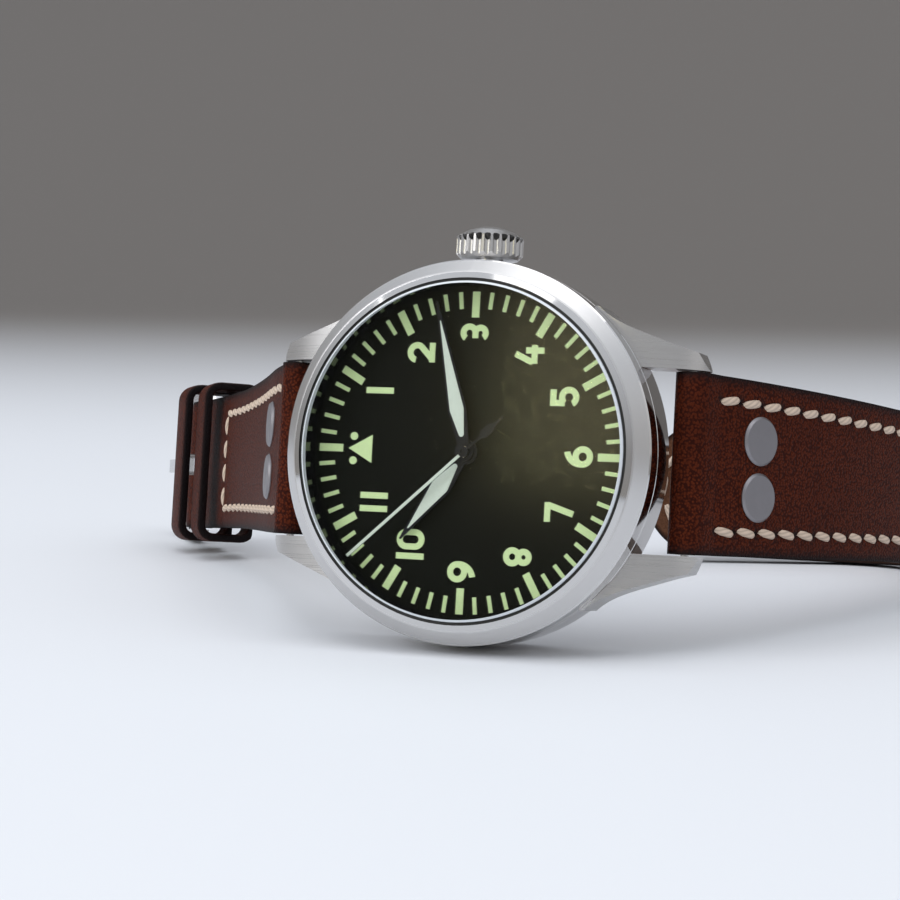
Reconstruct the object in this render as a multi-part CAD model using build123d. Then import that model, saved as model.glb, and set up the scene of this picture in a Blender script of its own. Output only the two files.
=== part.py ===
# Pilot watch: steel case 42 mm across, black dial, hand-set automatic movement, riveted leather strap.
# The watch is drawn lying dial up: X to 3 o'clock, Y to 12 o'clock, Z out of the dial, whose face is
# the plane Z = 0.  At the end everything is stood on its 9 o'clock side, crown up, with the dial
# facing -Y and leaning back, so that it rests on the case rim, the buckle and the strap's tail.
# All lengths are millimetres.
import math
import os

from build123d import *

os.makedirs("parts", exist_ok=True)

# Case
case_radius = 21.0
bezel_wall = 1.5
neck_wall = 0.6
press_fit_gap = 0.02
seat_gap = 0.03
case_flank = 5.0
bezel_skirt = 1.2
flank_edge_fillet = 0.5
back_height = 2.4
back_wall = 3.4
back_land = 1.2
back_chamfer = 1.1
back_neck = 0.8
back_notches = 6
back_notch_width = 3.0
back_notch_depth = 0.7
back_seal_wire = 0.45
back_seal_land = 0.55

# Lugs
lug_gap = 20.0
lug_reach = 4.1
lug_tip_width = 1.9
lug_tip_slant = 1.05
lug_root_width = 6.4
lug_root = 13.6
lug_drop = 2.1
lug_tip_round = 1.4

# Bezel, crystal and inner ring
crystal_thickness = 1.3
crystal_proud = 0.3
crystal_bevel = 0.25
crystal_seal = 0.35
rehaut_wall = 0.65
bezel_lip_width = 0.8
bezel_lip_drop = 0.35
bezel_edge_height = 1.9
bezel_edge_round = 0.2

# Dial and its raised marks
dial_thickness = 0.4
dial_hole = 1.15
mark_height = 0.08
mark_edge_gap = 0.61
minute_mark = 1.85
minute_mark_width = 0.45
hour_mark = 2.83
hour_mark_width = 0.85
numeral_gap = 1.77
numeral_height = 3.25
numeral_stroke = 0.68
ten_pitch = 1.83
eleven_pitch = 1.45
triangle_height = 2.8
triangle_half_width = 1.55
triangle_sink = 0.3
dot_radius = 0.44
dot_spread = 1.35
dot_rise = 0.5

# Hands
hand_thickness = 0.2
hand_gap = 0.2
hour_hand_lift = 0.55
hour_hand_gap = 0.9
hour_hand_widest = 4.6
hour_hand_width = 2.5
hour_tip = 1.5
minute_hand_gap = 0.7
minute_hand_widest = 4.7
minute_hand_width = 2.1
minute_tip = 2.2
hand_rim = 0.24
hand_waist = 0.6
lume_start = 1.7
seconds_hand_width = 0.32
seconds_tail = 5.8
seconds_tail_width = 0.3
seconds_weight_start = 2.4
seconds_weight_end = 4.6
seconds_weight_width = 1.0
hour_boss = 1.3
minute_boss = 0.98
seconds_boss = 0.58
cap_height = 0.22
crystal_clearance = 0.3
shown_hours = 10.0
shown_minutes = 12.6
shown_seconds = 52.9

# Crown and stem
crown_radius = 3.7
crown_length = 3.5
crown_gap = 0.55
crown_dome = 1.1
crown_chamfer = 0.5
crown_flutes = 24
crown_flute_radius = 0.36
crown_flute_sink = 0.1
crown_pull = 1.2
crown_seal_wire = 0.35
tube_radius = 1.45
tube_bore = 0.85
tube_stand = 1.1
stem_drop = 3.3
stem_radius = 0.5
running_gap = 0.05

# Movement plate and ring
ring_width = 4.36
plate_thickness = 3.4
motion_recess = 1.25
plate_web = 0.6
pocket_gap = 0.3
bridge_thickness = 0.8
bridge_split = 0.3
ring_wall_gap = 0.1
ring_depth = 5.0
clamp_count = 3
clamp_length = 3.4
clamp_width = 2.2
clamp_thickness = 0.35
clamp_grip = 0.5
clamp_first = 75.0
screw_edge = 0.76
cock_screw_edge = 1.28
barrel_screw_angles = [33.0, 100.0, 140.0]
train_screw_angles = [172.0, 215.0]
cock_screw_angle = -73.0
screw_head_radius = 0.62
screw_head_height = 0.3
screw_shank_radius = 0.32
screw_slot = 0.14
jewel_radius = 0.75
jewel_thickness = 0.3

# Gear train: every wheel's tip circle and each pair's gap at the pitch point
mesh_gap = 0.04
tooth_depth = 0.28
wheel_thickness = 0.16
layer_gap = 0.06
arbor_radius = 0.18
barrel_height = 0.8
wheel_shares = [0.4077, 0.25385, 0.25385, 0.16154, 0.24615]
pinion_shares = [0.07692, 0.03462, 0.03385, 0.02923]
escapement_shares = [0.22692, 0.13462, 0.15769, 0.2, 0.13462]
crown_wheel_shares = [0.45385, 0.2]
barrel_wall = 0.25
barrel_angle = 60.0
third_angle = 200.0
escape_angle = 290.0
escape_teeth = 15
escape_tooth_shares = [(0.72, 0.0), (0.97, 0.42), (1.0, 0.5), (0.72, 0.3)]
tooth_width_shares = [(False, -0.32), (True, -0.14), (True, 0.14), (False, 0.32)]
barrel_teeth = 60
centre_pinion_teeth = 12
centre_teeth = 64
third_pinion_teeth = 8
third_teeth = 60
fourth_pinion_teeth = 8
fourth_teeth = 70
escape_pinion_teeth = 7
pallet_angle = -50.0
pallet_spread = 68.0
balance_rim = 0.35
balance_height = 0.32
hairspring_turns = 3
hairspring_wire = 0.05
hairspring_height = 0.12
mainspring_turns = 5
mainspring_wire = 0.12
barrel_arbor_radius = 0.9
crown_wheel_boss = 0.65
ratchet_thickness = 0.3
winding_pinion_radius = 0.95
winding_pinion_length = 1.3
winding_pinion_teeth = 12
crown_wheel_teeth = 30
ratchet_teeth = 42
clutch_length = 1.3
clutch_groove_share = 0.3
click_angle = 160.0
click_sweep = 24.0

# Motion work behind the dial
cannon_pinion_radius = 0.9
cannon_pinion_teeth = 12
cannon_radius = 0.6
hour_pipe_radius = 0.82
centre_arbor = 0.34
minute_wheel_radius = 2.5
minute_wheel_teeth = 36
minute_wheel_angle = 150.0
minute_pinion_radius = 0.7
minute_pinion_teeth = 10
hour_wheel_teeth = 40

# Winding rotor
rotor_edge_gap = 0.8
rotor_web = 0.3
rotor_rim = 2.0
rotor_rim_height = 1.0
rotor_bearing_radius = 2.0
rotor_bearing_height = 0.7
rotor_lift = 0.22
rotor_window_share = 0.49
rotor_windows = 3
rotor_window_step = 50.0
rotor_weight_angle = -90.0
rotor_rest = -90.0

# Back window
window_land = 2.16
window_thickness = 1.1
window_seal = 0.3
window_drop = 0.35

# Strap
strap_reach = 2.25
spring_bar_drop = 5.8
spring_bar_radius = 0.75
spring_bar_pin = 0.45
spring_bar_pin_length = 0.9
spring_bar_end_gap = 0.12
strap_width_gap = 0.4
strap_end_width = 18.0
strap_taper_depth = 34.0
top_leather = 1.4
lining_leather = 1.2
loop_radius = 1.9
loop_gap = 0.1
lining_start = 1.2
short_slope = 55.0
short_run = [(4.0, 0.0), (8.0, -5.0), (62.0, 10.0)]
long_slope = 58.0
long_run = [(2.0, 0.0), (8.0, -5.0), (34.0, -14.28)]
tail_curl = (32.87, -117.72)
tail_run = (25.0, 0.0)
tail_tip = 8.0
hole_radius = 0.95
hole_count = 7
hole_pitch = 6.5
first_hole = 23.0
rivet_place = 9.3
rivet_radius = 2.7
rivet_head = 0.45
rivet_shank = 1.1
rivet_spread = 3.1
rivet_bevel = 0.25
washer_radius = 2.2
washer_height = 0.4
keeper_leather = 1.1
keeper_width = 5.5
keeper_side_gap = 0.3
keeper_room = 2.4
fixed_keeper_place = 66.5
loose_keeper_place = 58.5

# Buckle
buckle_half_width = 11.2
buckle_front_half_width = 9.7
buckle_length = 11.5
buckle_bar = 1.9
buckle_corner = 2.66
buckle_height = 2.2
buckle_ear = 3.4
buckle_bar_gap = 0.25
tongue_width = 1.9
tongue_height = 1.1
tongue_slot = 3.2
tongue_overhang = 0.9
tongue_eye = 1.35

# Cutters run past what they cut by this much
overrun = 1.0

# Worked out from the sizes above
ledge_radius = case_radius - bezel_wall - neck_wall - press_fit_gap
dial_radius = ledge_radius - press_fit_gap
rehaut_inner = dial_radius - rehaut_wall
neck_radius = ledge_radius + neck_wall
bore_radius = dial_radius - rehaut_wall - rehaut_wall
movement_radius = bore_radius - ring_width - 2 * ring_wall_gap
rotor_radius = movement_radius - rotor_edge_gap
window_radius = bore_radius - back_neck - window_land
mark_outer_radius = rehaut_inner - mark_edge_gap
numeral_radius = mark_outer_radius - hour_mark - numeral_gap
hour_hand_length = numeral_radius - hour_hand_gap
hour_lume_end = hour_hand_length - hour_tip
minute_hand_length = mark_outer_radius - minute_hand_gap
minute_lume_end = minute_hand_length - minute_tip
seconds_hand_length = mark_outer_radius
crystal_radius = rehaut_inner + rehaut_wall / 3
seconds_level = hour_hand_lift + 2 * (hand_thickness + hand_gap)
hand_top = seconds_level + hand_thickness + cap_height
crystal_back = hand_top + crystal_clearance
crystal_front = crystal_back + crystal_thickness
bezel_front = crystal_front - crystal_proud
bezel_foot = -bezel_skirt
case_front = bezel_foot - seat_gap
case_foot = case_front - case_flank
back_foot = case_foot - seat_gap - back_height
plate_front = -dial_thickness - seat_gap
motion_floor = plate_front - motion_recess
pocket_roof = motion_floor - plate_web
plate_back = plate_front - plate_thickness
bridge_front = plate_back - press_fit_gap
bridge_back = bridge_front - bridge_thickness
ring_back = plate_front - ring_depth
stem_z = -stem_drop
spring_bar_y = case_radius + strap_reach
spring_bar_z = -spring_bar_drop
lug_tip_y = case_radius + lug_reach
strap_thickness = top_leather + lining_leather
top_face = strap_thickness / 2
back_face = -strap_thickness / 2
split_face = back_face + lining_leather

# Radii and arms of the going train and the winding wheels, as shares of the movement's radius
barrel_radius, centre_wheel_radius, fourth_wheel_radius, escape_wheel_radius, balance_radius = (
    movement_radius * share for share in wheel_shares
)
centre_pinion_radius, third_pinion_radius, fourth_pinion_radius, escape_pinion_radius = (
    movement_radius * share for share in pinion_shares
)
pallet_reach, pallet_arm, fork_length, balance_reach, hairspring_radius = (
    movement_radius * share for share in escapement_shares
)
crown_wheel_x, crown_wheel_radius = (movement_radius * share for share in crown_wheel_shares)
winding_pinion_x = crown_wheel_x + crown_wheel_radius + 2 * running_gap
clutch_start = winding_pinion_x - winding_pinion_length / 2 - press_fit_gap - clutch_length
stem_reach = clutch_start - seat_gap


def polar(radius, degrees):
    """A place on the dial plan, in degrees from X towards Y."""
    return radius * math.cos(math.radians(degrees)), radius * math.sin(math.radians(degrees))


def clock(radius, minutes):
    """A place on the dial plan at so many minutes past 12."""
    turn = math.radians(360 * minutes / 60)
    return radius * math.sin(turn), radius * math.cos(turn)


def disc(radius, low, high, place=(0, 0)):
    """A plain round plate between two levels."""
    return Pos(place[0], place[1], low) * Cylinder(
        radius, high - low, align=(Align.CENTER, Align.CENTER, Align.MIN)
    )


def ring(outer, inner, low, high, place=(0, 0)):
    """A round plate with a round hole."""
    return disc(outer, low, high, place) - disc(inner, low - overrun, high + overrun, place)


def turned(*points):
    """A solid of revolution about Z from its half section, given as radius and level."""
    return revolve(Plane.XZ * make_face(Polyline(*points, close=True)), Axis.Z)


def plate(points, low, high):
    """A flat plate between two levels from its outline on the dial plan."""
    return Pos(0, 0, low) * extrude(make_face(Polyline(*points, close=True)), high - low)


def around(shape, count, first=0.0):
    """Copies of a shape, evenly turned about Z."""
    return [Rot(0, 0, first + 360 * index / count) * shape for index in range(count)]


def toothed(tip, teeth, low, high, place=(0, 0), bore=0.0):
    """A gear: tip radius, number of teeth and its two levels."""
    root = tip - min(tooth_depth, tip / 4)
    step = 2 * math.pi / teeth
    points = []
    for tooth in range(teeth):
        for at_tip, share in tooth_width_shares:
            radius = tip if at_tip else root
            turn = step * (tooth + share)
            points.append((place[0] + radius * math.cos(turn), place[1] + radius * math.sin(turn)))
    gear = plate(points, low, high)
    return gear - disc(bore, low - overrun, high + overrun, place) if bore else gear


def spoked(gear, tip, hub, low, high, place=(0, 0), windows=5):
    """Cuts round windows between a wheel's hub and its rim."""
    middle = (tip - tooth_depth + hub) / 2
    window = (tip - tooth_depth - hub) / 3
    for index in range(windows):
        shift = polar(middle, 360 * index / windows)
        gear -= disc(window, low - overrun, high + overrun, (place[0] + shift[0], place[1] + shift[1]))
    return gear


# Case and its coverings


def lug_block():
    """One lug, at the 12 o'clock side towards 3 o'clock."""
    inner = lug_gap / 2
    plan = make_face(
        [
            Line((inner, 0), (inner, lug_tip_y)),
            Line((inner, lug_tip_y), (inner + lug_tip_width, lug_tip_y - lug_tip_slant)),
            Spline(
                (inner + lug_tip_width, lug_tip_y - lug_tip_slant),
                (inner + lug_root_width / 2, (lug_tip_y + lug_root) / 2 + lug_tip_round / 2),
                (inner + lug_root_width, lug_root),
                tangents=[(lug_tip_width / 2, -lug_reach), (lug_root, -lug_root)],
            ),
            Line((inner + lug_root_width, lug_root), (inner + lug_root_width, 0)),
            Line((inner + lug_root_width, 0), (inner, 0)),
        ]
    )
    block = Pos(0, 0, case_foot - lug_drop) * extrude(plan, case_front - case_foot + lug_drop)
    top = (lug_root, case_front)
    crest = (case_radius - lug_tip_round, case_front - lug_drop / 2)
    tip_top = (lug_tip_y - lug_tip_round / 2, spring_bar_z + lug_drop / 2)
    nose = (lug_tip_y, spring_bar_z - lug_drop / 3)
    tip_low = (lug_tip_y - lug_tip_round, case_foot - lug_drop)
    heel = (case_radius - lug_tip_round, case_foot - lug_drop / 3)
    side = make_face(
        [
            Line((0, case_front), top),
            Spline(top, crest, tip_top, tangents=[(1, 0), (lug_reach, -lug_reach)]),
            ThreePointArc(tip_top, nose, tip_low),
            Spline(tip_low, heel, (lug_root, case_foot), tangents=[(-1, 0.5), (-1, 0)]),
            Line((lug_root, case_foot), (0, case_foot)),
            Line((0, case_foot), (0, case_front)),
        ]
    )
    side_plane = Plane(origin=(0, 0, 0), x_dir=(0, 1, 0), z_dir=(1, 0, 0))
    return block & extrude(side_plane * side, 2 * case_radius)


def all_lugs():
    """The four lugs, mirrored from one."""
    one = lug_block()
    pair = [one, mirror(one, Plane.YZ)]
    return pair + [mirror(lug, Plane.XZ) for lug in pair]


def crown_axis_bore(radius, start, end):
    """A bore along the stem's axis, from one distance from the centre to another."""
    return Pos(start, 0, stem_z) * Rot(0, 90, 0) * Cylinder(
        radius, end - start, align=(Align.CENTER, Align.CENTER, Align.MIN)
    )


def case_middle():
    """The middle of the case with the neck that carries the bezel, and the lugs."""
    body = turned(
        (bore_radius, case_foot),
        (case_radius - flank_edge_fillet, case_foot),
        (case_radius, case_foot + flank_edge_fillet),
        (case_radius, case_front - flank_edge_fillet / 2),
        (case_radius - flank_edge_fillet / 2, case_front),
        (neck_radius, case_front),
        (neck_radius, neck_top),
        (ledge_radius, neck_top),
        (ledge_radius, -dial_thickness),
        (bore_radius, -dial_thickness),
    )
    inside = disc(case_radius - bezel_wall, case_foot - lug_drop - overrun, case_front + overrun)
    inside += disc(case_radius - back_land + ring_wall_gap, case_foot - lug_drop - overrun, case_foot)
    for lug in all_lugs():
        body += lug - inside
    bar_hole = Rot(0, 90, 0) * Cylinder(spring_bar_pin + running_gap, spring_bar_hole_span)
    for side in (1, -1):
        body -= Pos(0, side * spring_bar_y, spring_bar_z) * bar_hole
    seal_floor = case_foot + back_seal_wire
    seal_groove = ring(seal_outer, seal_inner, case_foot - overrun, seal_floor)
    return body - seal_groove - crown_axis_bore(tube_radius, 0, case_radius + overrun)


def bezel():
    """The bezel ring: brushed slope, polished inner lip, skirt that snaps over the case's neck."""
    slope_foot = bezel_front - bezel_edge_height
    lip_edge = seal_ring_outer + bezel_lip_width
    return turned(
        (neck_radius + press_fit_gap, bezel_foot),
        (case_radius, bezel_foot),
        (case_radius, slope_foot),
        (case_radius - bezel_edge_round, slope_foot + bezel_edge_round),
        (lip_edge, bezel_front - bezel_lip_drop),
        (seal_ring_outer, bezel_front),
        (seal_ring_outer, crystal_back),
        (rehaut_inner + rehaut_wall, crystal_back),
        (rehaut_inner + rehaut_wall, neck_top + seat_gap),
        (neck_radius + press_fit_gap, neck_top + seat_gap),
    )


def crystal():
    """The flat glass with a bevelled edge."""
    return turned(
        (0, crystal_back),
        (crystal_radius, crystal_back),
        (crystal_radius, crystal_front - crystal_bevel),
        (crystal_radius - crystal_bevel, crystal_front),
        (0, crystal_front),
    )


def crystal_gasket():
    """The seal ring round the glass."""
    return ring(
        seal_ring_outer - press_fit_gap,
        crystal_radius + press_fit_gap,
        crystal_back,
        bezel_front - bezel_edge_round,
    )


def rehaut():
    """The sloping ring between the dial's edge and the glass."""
    inward = rehaut_wall / 3
    return turned(
        (rehaut_inner, 0),
        (dial_radius, 0),
        (dial_radius, crystal_back - seat_gap),
        (rehaut_inner + inward, crystal_back - seat_gap),
    )


def case_back():
    """The screwed back: a ring with a neck inside the case and a seat for the window."""
    top = case_foot - seat_gap
    back = turned(
        (bore_radius - back_neck, case_foot + back_neck),
        (bore_radius - ring_wall_gap, case_foot + back_neck),
        (bore_radius - ring_wall_gap, top),
        (case_radius - back_land, top),
        (case_radius - back_land, top - back_land),
        (case_radius - back_land - back_chamfer, back_foot),
        (window_radius - window_seal, back_foot),
        (window_radius - window_seal, window_back - seat_gap),
        (window_seat, window_back - seat_gap),
        (window_seat, top),
        (bore_radius - back_neck, top),
    )
    notch = Pos(case_radius - back_land - back_chamfer, 0, back_foot) * Box(
        back_wall, back_notch_width, 2 * back_notch_depth
    )
    for cutter in around(notch, back_notches, 360 / back_notches / 2):
        back -= cutter
    return back


def back_window():
    """The glass of the back."""
    return disc(window_radius, window_back, window_back + window_thickness)


def back_window_gasket():
    """The seal between the back's glass and its ring."""
    return ring(window_seat - press_fit_gap, window_radius + press_fit_gap, window_back, window_front)


def case_back_gasket():
    """The round seal squeezed between the case and the back."""
    middle = (seal_outer + seal_inner) / 2
    wire = (back_seal_wire - press_fit_gap) / 2
    return Pos(0, 0, case_foot + wire) * Torus(middle, wire)


# Crown, tube and stem


def along_stem(*points):
    """A turned piece on the stem's axis: points are distance from the axis and from the centre."""
    section = make_face(Polyline(*points, close=True))
    return Pos(0, 0, stem_z) * Rot(0, 90, 0) * revolve(Plane.XZ * section, Axis.Z)


def crown():
    """The fluted crown: chamfer towards the case, straight flank and a dome that the flutes climb."""
    inner = case_radius + crown_gap
    shoulder = crown_end - crown_dome
    dome_edge = crown_radius * 2 / 3
    body = along_stem(
        (tube_radius + 2 * running_gap, inner),
        (crown_radius - crown_chamfer, inner),
        (crown_radius, inner + crown_chamfer),
        (crown_radius, shoulder),
        (dome_edge, crown_end - crown_dome / 3),
        (crown_radius / 3, crown_end),
        (0, crown_end),
        (0, crown_floor),
        (tube_radius + 2 * running_gap, crown_floor),
    )
    stem_bore = crown_axis_bore(stem_radius, crown_floor - overrun, crown_floor + crown_chamfer)
    flank_flute = Pos(0, crown_radius + crown_flute_sink, 0) * crown_axis_bore(
        crown_flute_radius, inner - overrun, shoulder
    )
    rise = crown_dome * 2 / 3
    slope = math.degrees(math.atan2(crown_radius - dome_edge, rise))
    dome_flute = (
        Pos(shoulder, crown_radius + crown_flute_sink, stem_z)
        * Rot(0, 0, slope)
        * Rot(0, 90, 0)
        * Cylinder(crown_flute_radius, 4 * crown_dome, align=(Align.CENTER, Align.CENTER, Align.CENTER))
    )
    body -= stem_bore
    axis = Axis((0, 0, stem_z), (1, 0, 0))
    for index in range(crown_flutes):
        turn = 360 * index / crown_flutes
        body -= flank_flute.rotate(axis, turn)
        body -= dome_flute.rotate(axis, turn)
    return body


def crown_seal():
    """A rubber ring in the tube's outer groove."""
    place = case_radius + crown_gap + tube_stand / 2
    wire = crown_seal_wire / 2
    return Pos(place, 0, stem_z) * Rot(0, 90, 0) * Torus(tube_radius - wire, wire)


def crown_tube():
    """The tube that the crown turns on, pressed into the case, with a groove for its seal."""
    end = case_radius + crown_gap + tube_stand
    radius = tube_radius - press_fit_gap
    groove_place = case_radius + crown_gap + tube_stand / 2
    half = crown_seal_wire / 2 + press_fit_gap
    depth = tube_radius - crown_seal_wire - press_fit_gap
    return along_stem(
        (tube_bore, bore_radius + press_fit_gap),
        (radius, bore_radius + press_fit_gap),
        (radius, groove_place - half),
        (depth, groove_place - half),
        (depth, groove_place + half),
        (radius, groove_place + half),
        (radius, end),
        (tube_bore, end),
    )


def winding_stem():
    """The stem, screwed into the crown."""
    return crown_axis_bore(
        stem_radius - press_fit_gap, stem_reach, crown_floor + crown_chamfer - press_fit_gap
    )


def winding_pinion():
    """The pinion on the stem that turns the crown wheel."""
    bore = stem_radius + running_gap
    start = winding_pinion_x - winding_pinion_length / 2
    pinion = toothed(winding_pinion_radius, winding_pinion_teeth, 0, winding_pinion_length, bore=bore)
    return Pos(start, 0, stem_z) * Rot(0, 90, 0) * pinion


def sliding_clutch():
    """The clutch with its groove for the yoke."""
    bore = stem_radius + running_gap
    start = clutch_start
    groove = clutch_length * clutch_groove_share
    radius = winding_pinion_radius - tooth_depth / 2
    waist = (radius + bore) / 2
    return along_stem(
        (bore, start),
        (radius, start),
        (radius, start + groove),
        (waist, start + groove),
        (waist, start + 2 * groove),
        (radius, start + 2 * groove),
        (radius, start + clutch_length),
        (bore, start + clutch_length),
    )


# Places of the train's arbors on the plan
barrel_at = polar(barrel_radius + centre_pinion_radius + mesh_gap, barrel_angle)
third_distance = centre_wheel_radius + third_pinion_radius + mesh_gap
third_at = polar(third_distance, third_angle)
third_wheel_radius = third_distance - fourth_pinion_radius - mesh_gap
escape_distance = fourth_wheel_radius + escape_pinion_radius + mesh_gap
escape_at = polar(escape_distance, escape_angle)
pallet_shift = polar(pallet_reach, pallet_angle)
pallet_at = (escape_at[0] + pallet_shift[0], escape_at[1] + pallet_shift[1])
balance_shift = polar(balance_reach, pallet_angle)
balance_at = (pallet_at[0] + balance_shift[0], pallet_at[1] + balance_shift[1])
crown_wheel_at = (crown_wheel_x, 0)
ratchet_radius = math.dist(barrel_at, crown_wheel_at) - crown_wheel_radius - mesh_gap

# Levels of the train, from the plate's pocket towards the back
barrel_front = pocket_roof - layer_gap
barrel_back = barrel_front - barrel_height
centre_level = barrel_back - layer_gap - wheel_thickness
third_level = centre_level - layer_gap - wheel_thickness
fourth_level = third_level - layer_gap - wheel_thickness
escape_level = pocket_roof - 2 * layer_gap - 2 * wheel_thickness
pallet_bridge_level = escape_level - layer_gap - wheel_thickness
balance_level = pallet_bridge_level - layer_gap - balance_height
hairspring_level = balance_level - layer_gap - hairspring_height
ratchet_back = bridge_back
ratchet_front = ratchet_back + ratchet_thickness

# Case pieces that meet others
neck_top = crystal_back / 2 - 2 * seat_gap
seal_ring_outer = crystal_radius + crystal_seal
seal_inner = bore_radius + back_seal_land
seal_outer = seal_inner + back_seal_wire
window_seat = window_radius + window_seal
window_front = case_foot - window_drop
window_back = window_front - window_thickness
crown_end = case_radius + crown_gap + crown_length
crown_floor = case_radius + crown_gap + tube_stand + crown_pull
spring_bar_hole_span = lug_gap + 2 * (spring_bar_pin_length + spring_bar_end_gap)


# Movement


def keyless_slot(low, high):
    """The slot in which the winding pinion and the clutch turn."""
    start = stem_reach
    end = winding_pinion_x + winding_pinion_length / 2 + pocket_gap
    half = winding_pinion_radius + pocket_gap / 2
    return Pos((start + end) / 2, 0, (low + high) / 2) * Box(end - start, 2 * half, high - low)


def main_plate():
    """The plate that everything in the movement is pivoted in."""
    body = disc(movement_radius, plate_back, plate_front)
    body -= disc(minute_wheel_reach + pocket_gap, motion_floor, plate_front + overrun)
    pockets = [
        (barrel_at, barrel_radius),
        ((0, 0), centre_wheel_radius),
        (third_at, third_wheel_radius),
        (escape_at, escape_wheel_radius),
        (pallet_at, pallet_arm),
        (balance_at, balance_radius),
    ]
    for place, radius in pockets:
        body -= disc(radius + pocket_gap, plate_back - overrun, pocket_roof, place)
    body -= keyless_slot(plate_back - overrun, stem_z + winding_pinion_radius + pocket_gap / 2)
    stem_bore = stem_radius + 2 * running_gap
    body -= crown_axis_bore(stem_bore, stem_reach - pocket_gap, movement_radius + overrun)
    body -= disc(centre_arbor + running_gap, plate_back - overrun, plate_front + overrun)
    for place in (third_at, escape_at, pallet_at, balance_at):
        body -= disc(arbor_radius + running_gap, plate_back - overrun, plate_front + overrun, place)
    body -= disc(post_radius, motion_floor - plate_web / 2, motion_floor + overrun, minute_wheel_at)
    arbor_bore = barrel_arbor_radius / 2 + running_gap
    return body - disc(arbor_bore, pocket_roof - overrun, pocket_roof + plate_web / 2, barrel_at)


def pivot_jewel(place):
    """One jewel, flush with the back of its bridge."""
    front = bridge_back + jewel_thickness
    return ring(jewel_radius - press_fit_gap, arbor_radius + running_gap, bridge_back, front, place)


def bridge(points, jewels):
    """A bridge cut from a disc by its outline, with seats for its jewels."""
    blank = plate(points, bridge_back, bridge_front) & disc(bridge_radius, bridge_back, bridge_front)
    seat = bridge_back + jewel_thickness + press_fit_gap
    for place in jewels:
        blank -= disc(jewel_radius, bridge_back - overrun, seat, place)
        blank -= disc(arbor_radius + running_gap, bridge_back - overrun, bridge_front + overrun, place)
    return blank


bridge_parting_shares = [(-1.0, 0.34), (-0.19, 0.15), (0.14, 0.12)]
barrel_edge_shares = [(0.27, -0.1), (0.3, -0.26), (0.6, -0.26), (0.76, -0.14), (1.0, -0.14)]
train_edge_shares = [(0.2, -0.09), (0.24, -0.28), (0.13, -0.36), (-0.02, -0.46), (-0.34, -1.0), (-1.0, -1.0)]
cock_shares = [(0.16, -1.0), (0.52, -1.0), (0.52, -0.62), (0.46, -0.52), (0.34, -0.50), (0.25, -0.58)]
pallet_bridge_shares = [(0.16, -0.42), (0.27, -0.38), (0.33, -0.47), (0.22, -0.56)]


def barrel_bridge():
    """The bridge over the barrel, with the recesses of the ratchet wheel and the crown wheel."""
    shares = bridge_parting_shares + barrel_edge_shares
    edge = [(x * movement_radius, y * movement_radius + bridge_split) for x, y in shares]
    outline = edge + [(movement_radius, movement_radius), (-movement_radius, movement_radius)]
    body = bridge(outline, [])
    floor = ratchet_front + layer_gap
    for place, radius in ((barrel_at, ratchet_radius), (crown_wheel_at, crown_wheel_radius)):
        body -= disc(radius + pocket_gap / 2, bridge_back - overrun, floor, place)
    body -= disc(barrel_arbor_radius + running_gap, bridge_back - overrun, bridge_front + overrun, barrel_at)
    body -= keyless_slot(floor - overrun, bridge_front + overrun)
    body -= disc(click_pivot, bridge_back - overrun, bridge_front + overrun, click_at)
    body -= click_shape(pocket_gap / 2)
    body += disc(crown_wheel_boss - running_gap, bridge_back, floor, crown_wheel_at)
    return drilled(body, barrel_bridge_screws)


def train_bridge():
    """The bridge over the centre, third, fourth and escape wheels."""
    edge = [(x * movement_radius, y * movement_radius) for x, y in bridge_parting_shares]
    lower = [(x * movement_radius, y * movement_radius) for x, y in train_edge_shares]
    body = bridge(edge + lower, [third_at, escape_at])
    body -= disc(seconds_arbor_radius + running_gap, bridge_back - overrun, bridge_front + overrun)
    return drilled(body, train_bridge_screws)


def balance_cock():
    """The arm that carries the balance's back pivot."""
    points = [(x * movement_radius, y * movement_radius) for x, y in cock_shares]
    return drilled(bridge(points, [balance_at]), cock_screws)


def pallet_bridge():
    """The small bridge over the pallet fork, inside the plate's pocket."""
    points = [(x * movement_radius, y * movement_radius) for x, y in pallet_bridge_shares]
    body = plate(points, pallet_bridge_level, pallet_bridge_level + wheel_thickness)
    body -= disc(arbor_radius + running_gap, pallet_bridge_level - overrun, plate_front, pallet_at)
    return body


bridge_radius = movement_radius - clamp_grip - bridge_split
barrel_bridge_screws = [polar(bridge_radius - screw_edge, angle) for angle in barrel_screw_angles]
train_bridge_screws = [polar(bridge_radius - screw_edge, angle) for angle in train_screw_angles]
cock_screws = [polar(bridge_radius - cock_screw_edge, cock_screw_angle)]


def drilled(body, places):
    """Counterbores for screw heads and clearance for their shanks."""
    for place in places:
        body -= disc(
            screw_head_radius + press_fit_gap, bridge_back - overrun, bridge_back + screw_head_height, place
        )
        body -= disc(screw_shank_radius + press_fit_gap, bridge_back - overrun, bridge_front + overrun, place)
    return body


def slotted_screw(place, head_back, length):
    """A screw seen from the back, with its slot."""
    head = disc(screw_head_radius, head_back, head_back + screw_head_height - press_fit_gap, place)
    shank = disc(screw_shank_radius, head_back, head_back + length, place)
    slot = Pos(place[0], place[1], head_back) * Box(
        2 * screw_head_radius + overrun, screw_slot, 2 * screw_slot
    )
    return head + shank - slot


def bridge_screws():
    """The screws of the bridges."""
    places = barrel_bridge_screws + train_bridge_screws + cock_screws
    return [slotted_screw(place, bridge_back, bridge_thickness - press_fit_gap) for place in places]


def jewels():
    """The pivot jewels that show on the bridges."""
    return [pivot_jewel(place) for place in (third_at, escape_at, balance_at)]


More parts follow.
